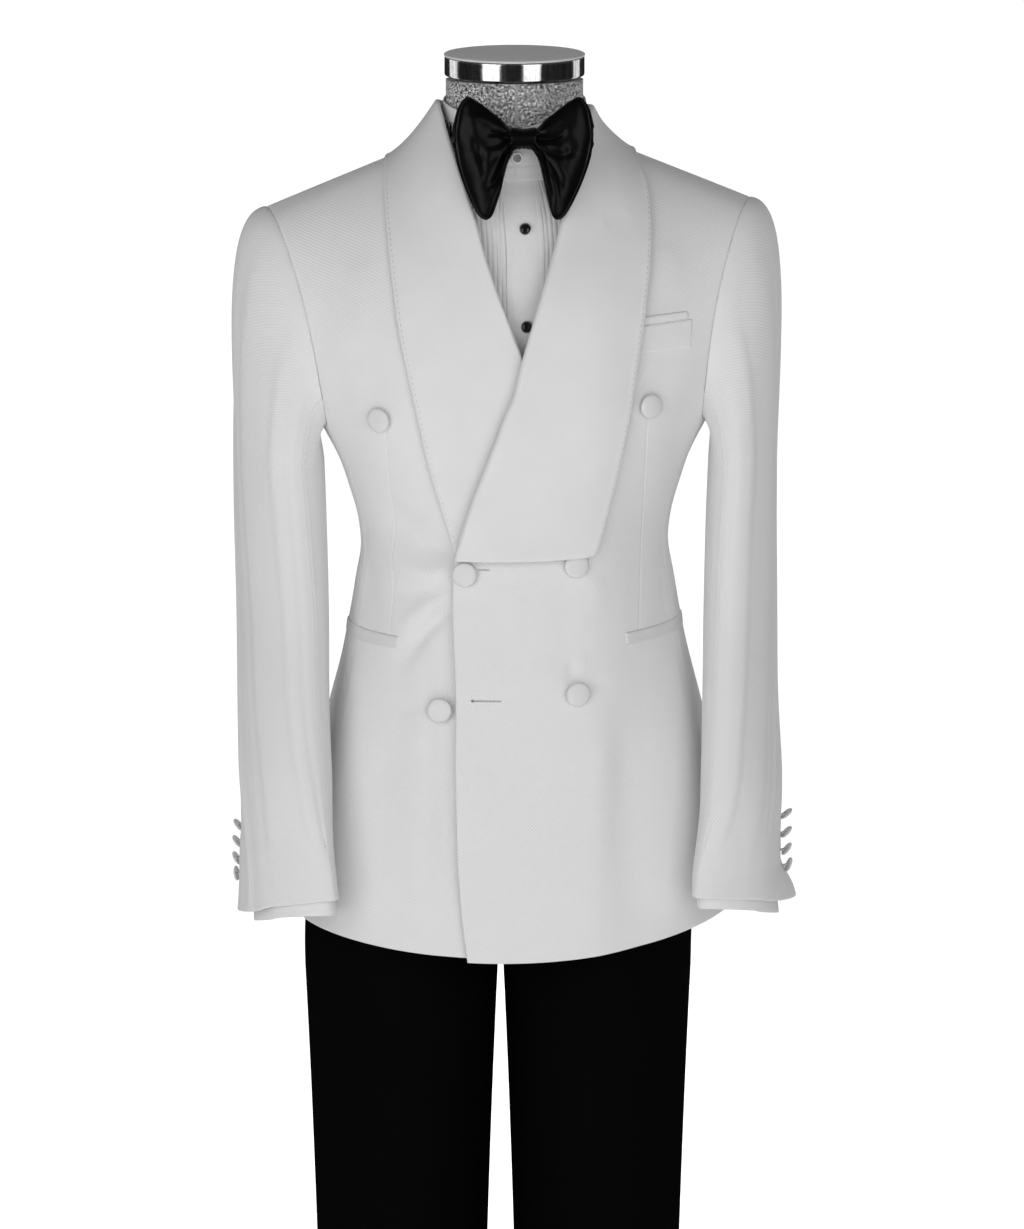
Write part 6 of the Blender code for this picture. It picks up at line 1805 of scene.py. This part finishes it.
bowFolds = {  # A is the distance out from the knot, B the height from its middle
    left: millimetres(foldColumns, [
        (2, 1, 30, 12, -4, 2.6, -2.2), (2, -6, 34, -18, 5, 3.6, 1.8), (4, -14, 26, -50, 6, 3.4, -2.2),
        (3, 5, 24, 26, -3, 2.8, 1.4), (16, -12, 40, -6, -3, 4, -1.2), (10, -30, 22, -62, 3, 3.2, 1.4),
        (20, 12, 44, -20, 8, 5.6, 0.9), (30, -30, 42, 8, 6, 5.2, -0.9),
    ]),
    right: millimetres(foldColumns, [
        (2, 0, 24, 6, 3, 2.6, -2.4), (3, -4, 30, -10, -4, 3.4, 1.8), (6, -12, 30, -46, -8, 3.6, -2),
        (14, 12, 44, 20, 4, 4, 1.2), (26, -36, 40, 10, 5, 4, -1.4), (8, -34, 20, -64, -2, 3, 1.3),
        (18, -12, 20, -44, 7, 5.2, 0.8), (34, 20, 46, -14, -6, 5.6, 0.9),
    ]),
}


def bowPoint(side, out, share, layer):
    out, share = np.broadcast_arrays(np.asarray(out, float), np.asarray(share, float))
    x = out * bowWing["x"][-1]
    tuck = 1 - 0.34 * hump(x, 0.0034)
    low, high = column(bowWing, "low", x) * tuck, column(bowWing, "high", x) * tuck
    z = mix(low, high, share)
    bulge = column(bowWing, "depth", x) * np.clip(np.sin(np.pi * np.clip(share, 0, 1)), 0, None) ** 0.72
    pleat = 0.0022 * np.sin(share * 5 * np.pi) * hump(x, 0.014)
    y = -bulge - pleat if layer == 0 else 0.1 * bulge + pleat
    lean = 0.03 * x + 0.36 * np.minimum(0.0, z + 0.012)
    swayed = bowShape["sway"][side] * np.maximum(0.0, -z) * np.minimum(x / 0.023, 1)
    across = side * (bowShape["knotHalf"] + 0.0006 + x + swayed - 0.0035 * hump(x, 0.003))
    return np.array(bowShape["knot"]) + point(across, y + lean, z), x, z


def makeBowWing(side, layer):
    values = bowShape
    out = spaced(0, 1, 62, 0.0515, (0.0004, 0.001, 0.002))[:, None]
    share = spaced(0, 1, 66, 0.07, (0.0004, 0.001, 0.002))[None]
    skin, x, z = bowPoint(side, out, share, layer)
    if layer == 0:
        face, thick, shift = "front", values["cloth"], (0, 0.001, 0)
    else:
        face, thick, shift = "back", values["cloth"] * values["backCloth"], (side * 0.0015, 0.0048, 0)
    grid = skin + np.array(shift)
    lift = np.full(x.shape, -thick)
    if layer == 0:
        lift += creaseField(x, z, bowFolds[side]) * fromEdge(grid, 0.006)
    hem = edgeDistance(grid)
    relief = 0.0001 * hump(hem - 0.0012, 0.0008) - 0.00006 * hump(hem - 0.0028, 0.0006)
    name = f"{sideWord[side]}_{face}"
    piece = cloth(f"bow_leaf_{name}", grid, grid + (0, 0.05, 0), thick, lift, relief, soften=0.0006)
    dress(piece, blackSatin, "black_satin", f"bow_wing_{name}")
    declare(values["cut"]["wing"])


def makeBowKnot():
    half, thick = bowShape["knotHalf"], bowShape["cloth"]
    x = spaced(-half, half, 40, 0.024, (0.0004, 0.001))[:, None]
    a = np.linspace(0, 2 * np.pi, 90, endpoint=False)[None]
    pinch = 0.0006 * np.cos(x / half * np.pi)
    pinch = pinch + 0.0004 * np.sin(x * 1500 + 2 * np.sin(a)) * (0.5 + 0.5 * np.cos(a + 0.6))
    high, deep = (size - thick for size in bowShape["knotSize"])
    middle = np.array(bowShape["knot"]) + point(x, bowShape["knotBack"], 0 * a)
    grid = middle + point(0 * x, -deep * np.cos(a), (high - pinch) * np.sin(a))
    piece = cloth("bow_knot_wrap", grid, middle, thick, closed=True)
    dress(piece, blackSatin, "black_satin", "bow_knot")
    declare(bowShape["cut"]["knot"])


def strapRing(angle, share, out):
    back = (1 - np.cos(angle)) / 2
    radius = shirtShape["collarRadius"] + shirtShape["collarWall"] + bowShape["strapGap"] + out
    z = mix(*bowShape["strapZ"], back) + bowShape["strapHigh"] * (share - 0.5)
    return point(radius * np.sin(angle), -radius * np.cos(angle), z)


def makeBowStrap():
    angle = np.linspace(0, 2 * np.pi, 180, endpoint=False)[None]
    grid = strapRing(angle, spaced(0, 1, 18, 0.013, (0.0004, 0.001))[:, None], 0.0)
    core, thick = point(0, 0, grid[..., 2]), bowShape["strap"]
    piece = cloth("bow_neck_strap", grid, core, thick, closed=True, soften=0.0003)
    dress(piece, blackSatin, "black_satin", "bow_neckband")
    declare(bowShape["cut"]["band"])
    for number, degrees in enumerate((-66, -60), 1):  # the strap's metal slide and hook
        ends = [np.full(9, math.radians(degrees + more)) for more in (0, 4)]
        share, out = np.linspace(-0.04, 1.04, 9), bowShape["clasp"]
        line, back = strapRing(ends[0], share, out), strapRing(ends[1], share[::-1], out)
        loop = np.concatenate([line, back, line[:1]])
        threads(f"strap_clasp_{number}", [loop], 0.0007, studSilver, "chrome_band", 10)


for side in (left, right):
    for layer in (1, 0):
        makeBowWing(side, layer)
makeBowKnot()
makeBowStrap()
print("bow tie made")

# ---- floor, light and camera
stageShade = {
    "ambient": 0.12, "mirrored": 0.3, "seen": 1.0, "floorGlow": 0.97, "floorFill": 0.28, "bandGlow": 0.6,
    "sideBands": ((-176, 3), (176, 3)),
    "boxes": {  # degrees round from the camera, power, width, height, seen in mirrors
        "left soft box": (-39, 27, 1.7, 3.0, True), "right soft box": (29, 21.5, 1.7, 3.0, True),
        "left rim light": (-121, 13, 1.5, 3.2, True), "right rim light": (124, 9, 1.2, 3.2, True),
        "front light": (-3, 25, 3.0, 2.6, False), "back light": (162, 34, 2.2, 2.4, False),
    },
    "far": 3.2, "high": 1.75, "aimZ": 1.15,
}
cameraView = {
    "place": (0.0, -5.9177, 2.0753), "downwards": 9.5, "lens": 182, "sensor": 36, "shiftX": -2.5 / 1229,
}
choose()
bpy.ops.mesh.primitive_plane_add(size=160, location=(0, 20, -0.0006))
floor = bpy.context.object
floor.name = "studio_floor"
floorPaper = makePlain("studio paper", (0.86, 0.86, 0.86), (0.92, 0.92, 0.92), 0.9, 40.0, 0.02)
floorPaper.shader.inputs["Emission Strength"].default_value = stageShade["floorGlow"]
seenOrLit = floorPaper.node("LightPath") + floorPaper.node("LightPath", output=2) * stageShade["floorFill"]
glowing = floorPaper.blend((0, 0, 0), (1, 1, 1), seenOrLit)
floorPaper.feed("Emission Color", glowing)
paper = floorPaper.blend((0.88, 0.88, 0.88), (0.1, 0.1, 0.1), floorPaper.node("LightPath", output=3))
floorPaper.feed("Base Color", paper)  # nearly black where it is seen in a mirror
floor.data.materials.append(floorPaper.material)


class Surround(Finish):  # the studio round the object, built with the same nodes
    def __init__(self, name):
        self.world = bpy.data.worlds.new(name)
        self.world.use_nodes = True
        self.tree = self.world.node_tree
        self.shader = self.tree.nodes["Background"]


studio = Surround("white studio")
bpy.context.scene.world = studio.world
studio.shader.inputs["Color"].default_value = (1, 1, 1, 1)
x, y, _ = studio.parts(studio.place(0))
azimuth = x.maths("ARCTAN2", x, 0.0 - y) * (180 / math.pi)  # 0 is the camera's side
isMirrored = studio.node("LightPath", output=3)
glow = stageShade["ambient"] - isMirrored * (stageShade["ambient"] * (1 - stageShade["mirrored"]))
for centre, half in stageShade["sideBands"]:
    off = (azimuth - centre).maths("ABSOLUTE", azimuth - centre)
    glow = off.between(half, half - 3) * stageShade["bandGlow"] + glow
isCamera = studio.node("LightPath")
strength = isCamera * stageShade["seen"] + (1.0 - isCamera) * glow
studio.feed("Strength", strength)

for name, (degrees, power, width, height, mirrored) in stageShade["boxes"].items():
    lamp = bpy.data.lights.new(name, "AREA")
    lamp.shape, lamp.energy = "RECTANGLE", power
    lamp.size, lamp.size_y = width, height
    box = bpy.data.objects.new(name, lamp)
    box.visible_glossy, box.visible_camera = mirrored, False
    bpy.context.scene.collection.objects.link(box)
    far, a = stageShade["far"], math.radians(degrees)
    box.location = (far * math.sin(a), -far * math.cos(a), stageShade["high"])
    aim = Vector((0, 0, stageShade["aimZ"])) - box.location
    box.rotation_euler = aim.to_track_quat("-Z", "Y").to_euler()

lens = bpy.data.cameras.new("camera")
camera = bpy.data.objects.new("camera", lens)
bpy.context.scene.collection.objects.link(camera)
camera.location = cameraView["place"]
camera.rotation_euler = (math.radians(90 - cameraView["downwards"]), 0, 0)
lens.lens, lens.sensor_width, lens.sensor_fit = cameraView["lens"], cameraView["sensor"], "AUTO"
lens.shift_x = cameraView["shiftX"]
bpy.context.scene.camera = camera
bpy.context.scene.view_settings.view_transform = "Standard"

print("stage set")
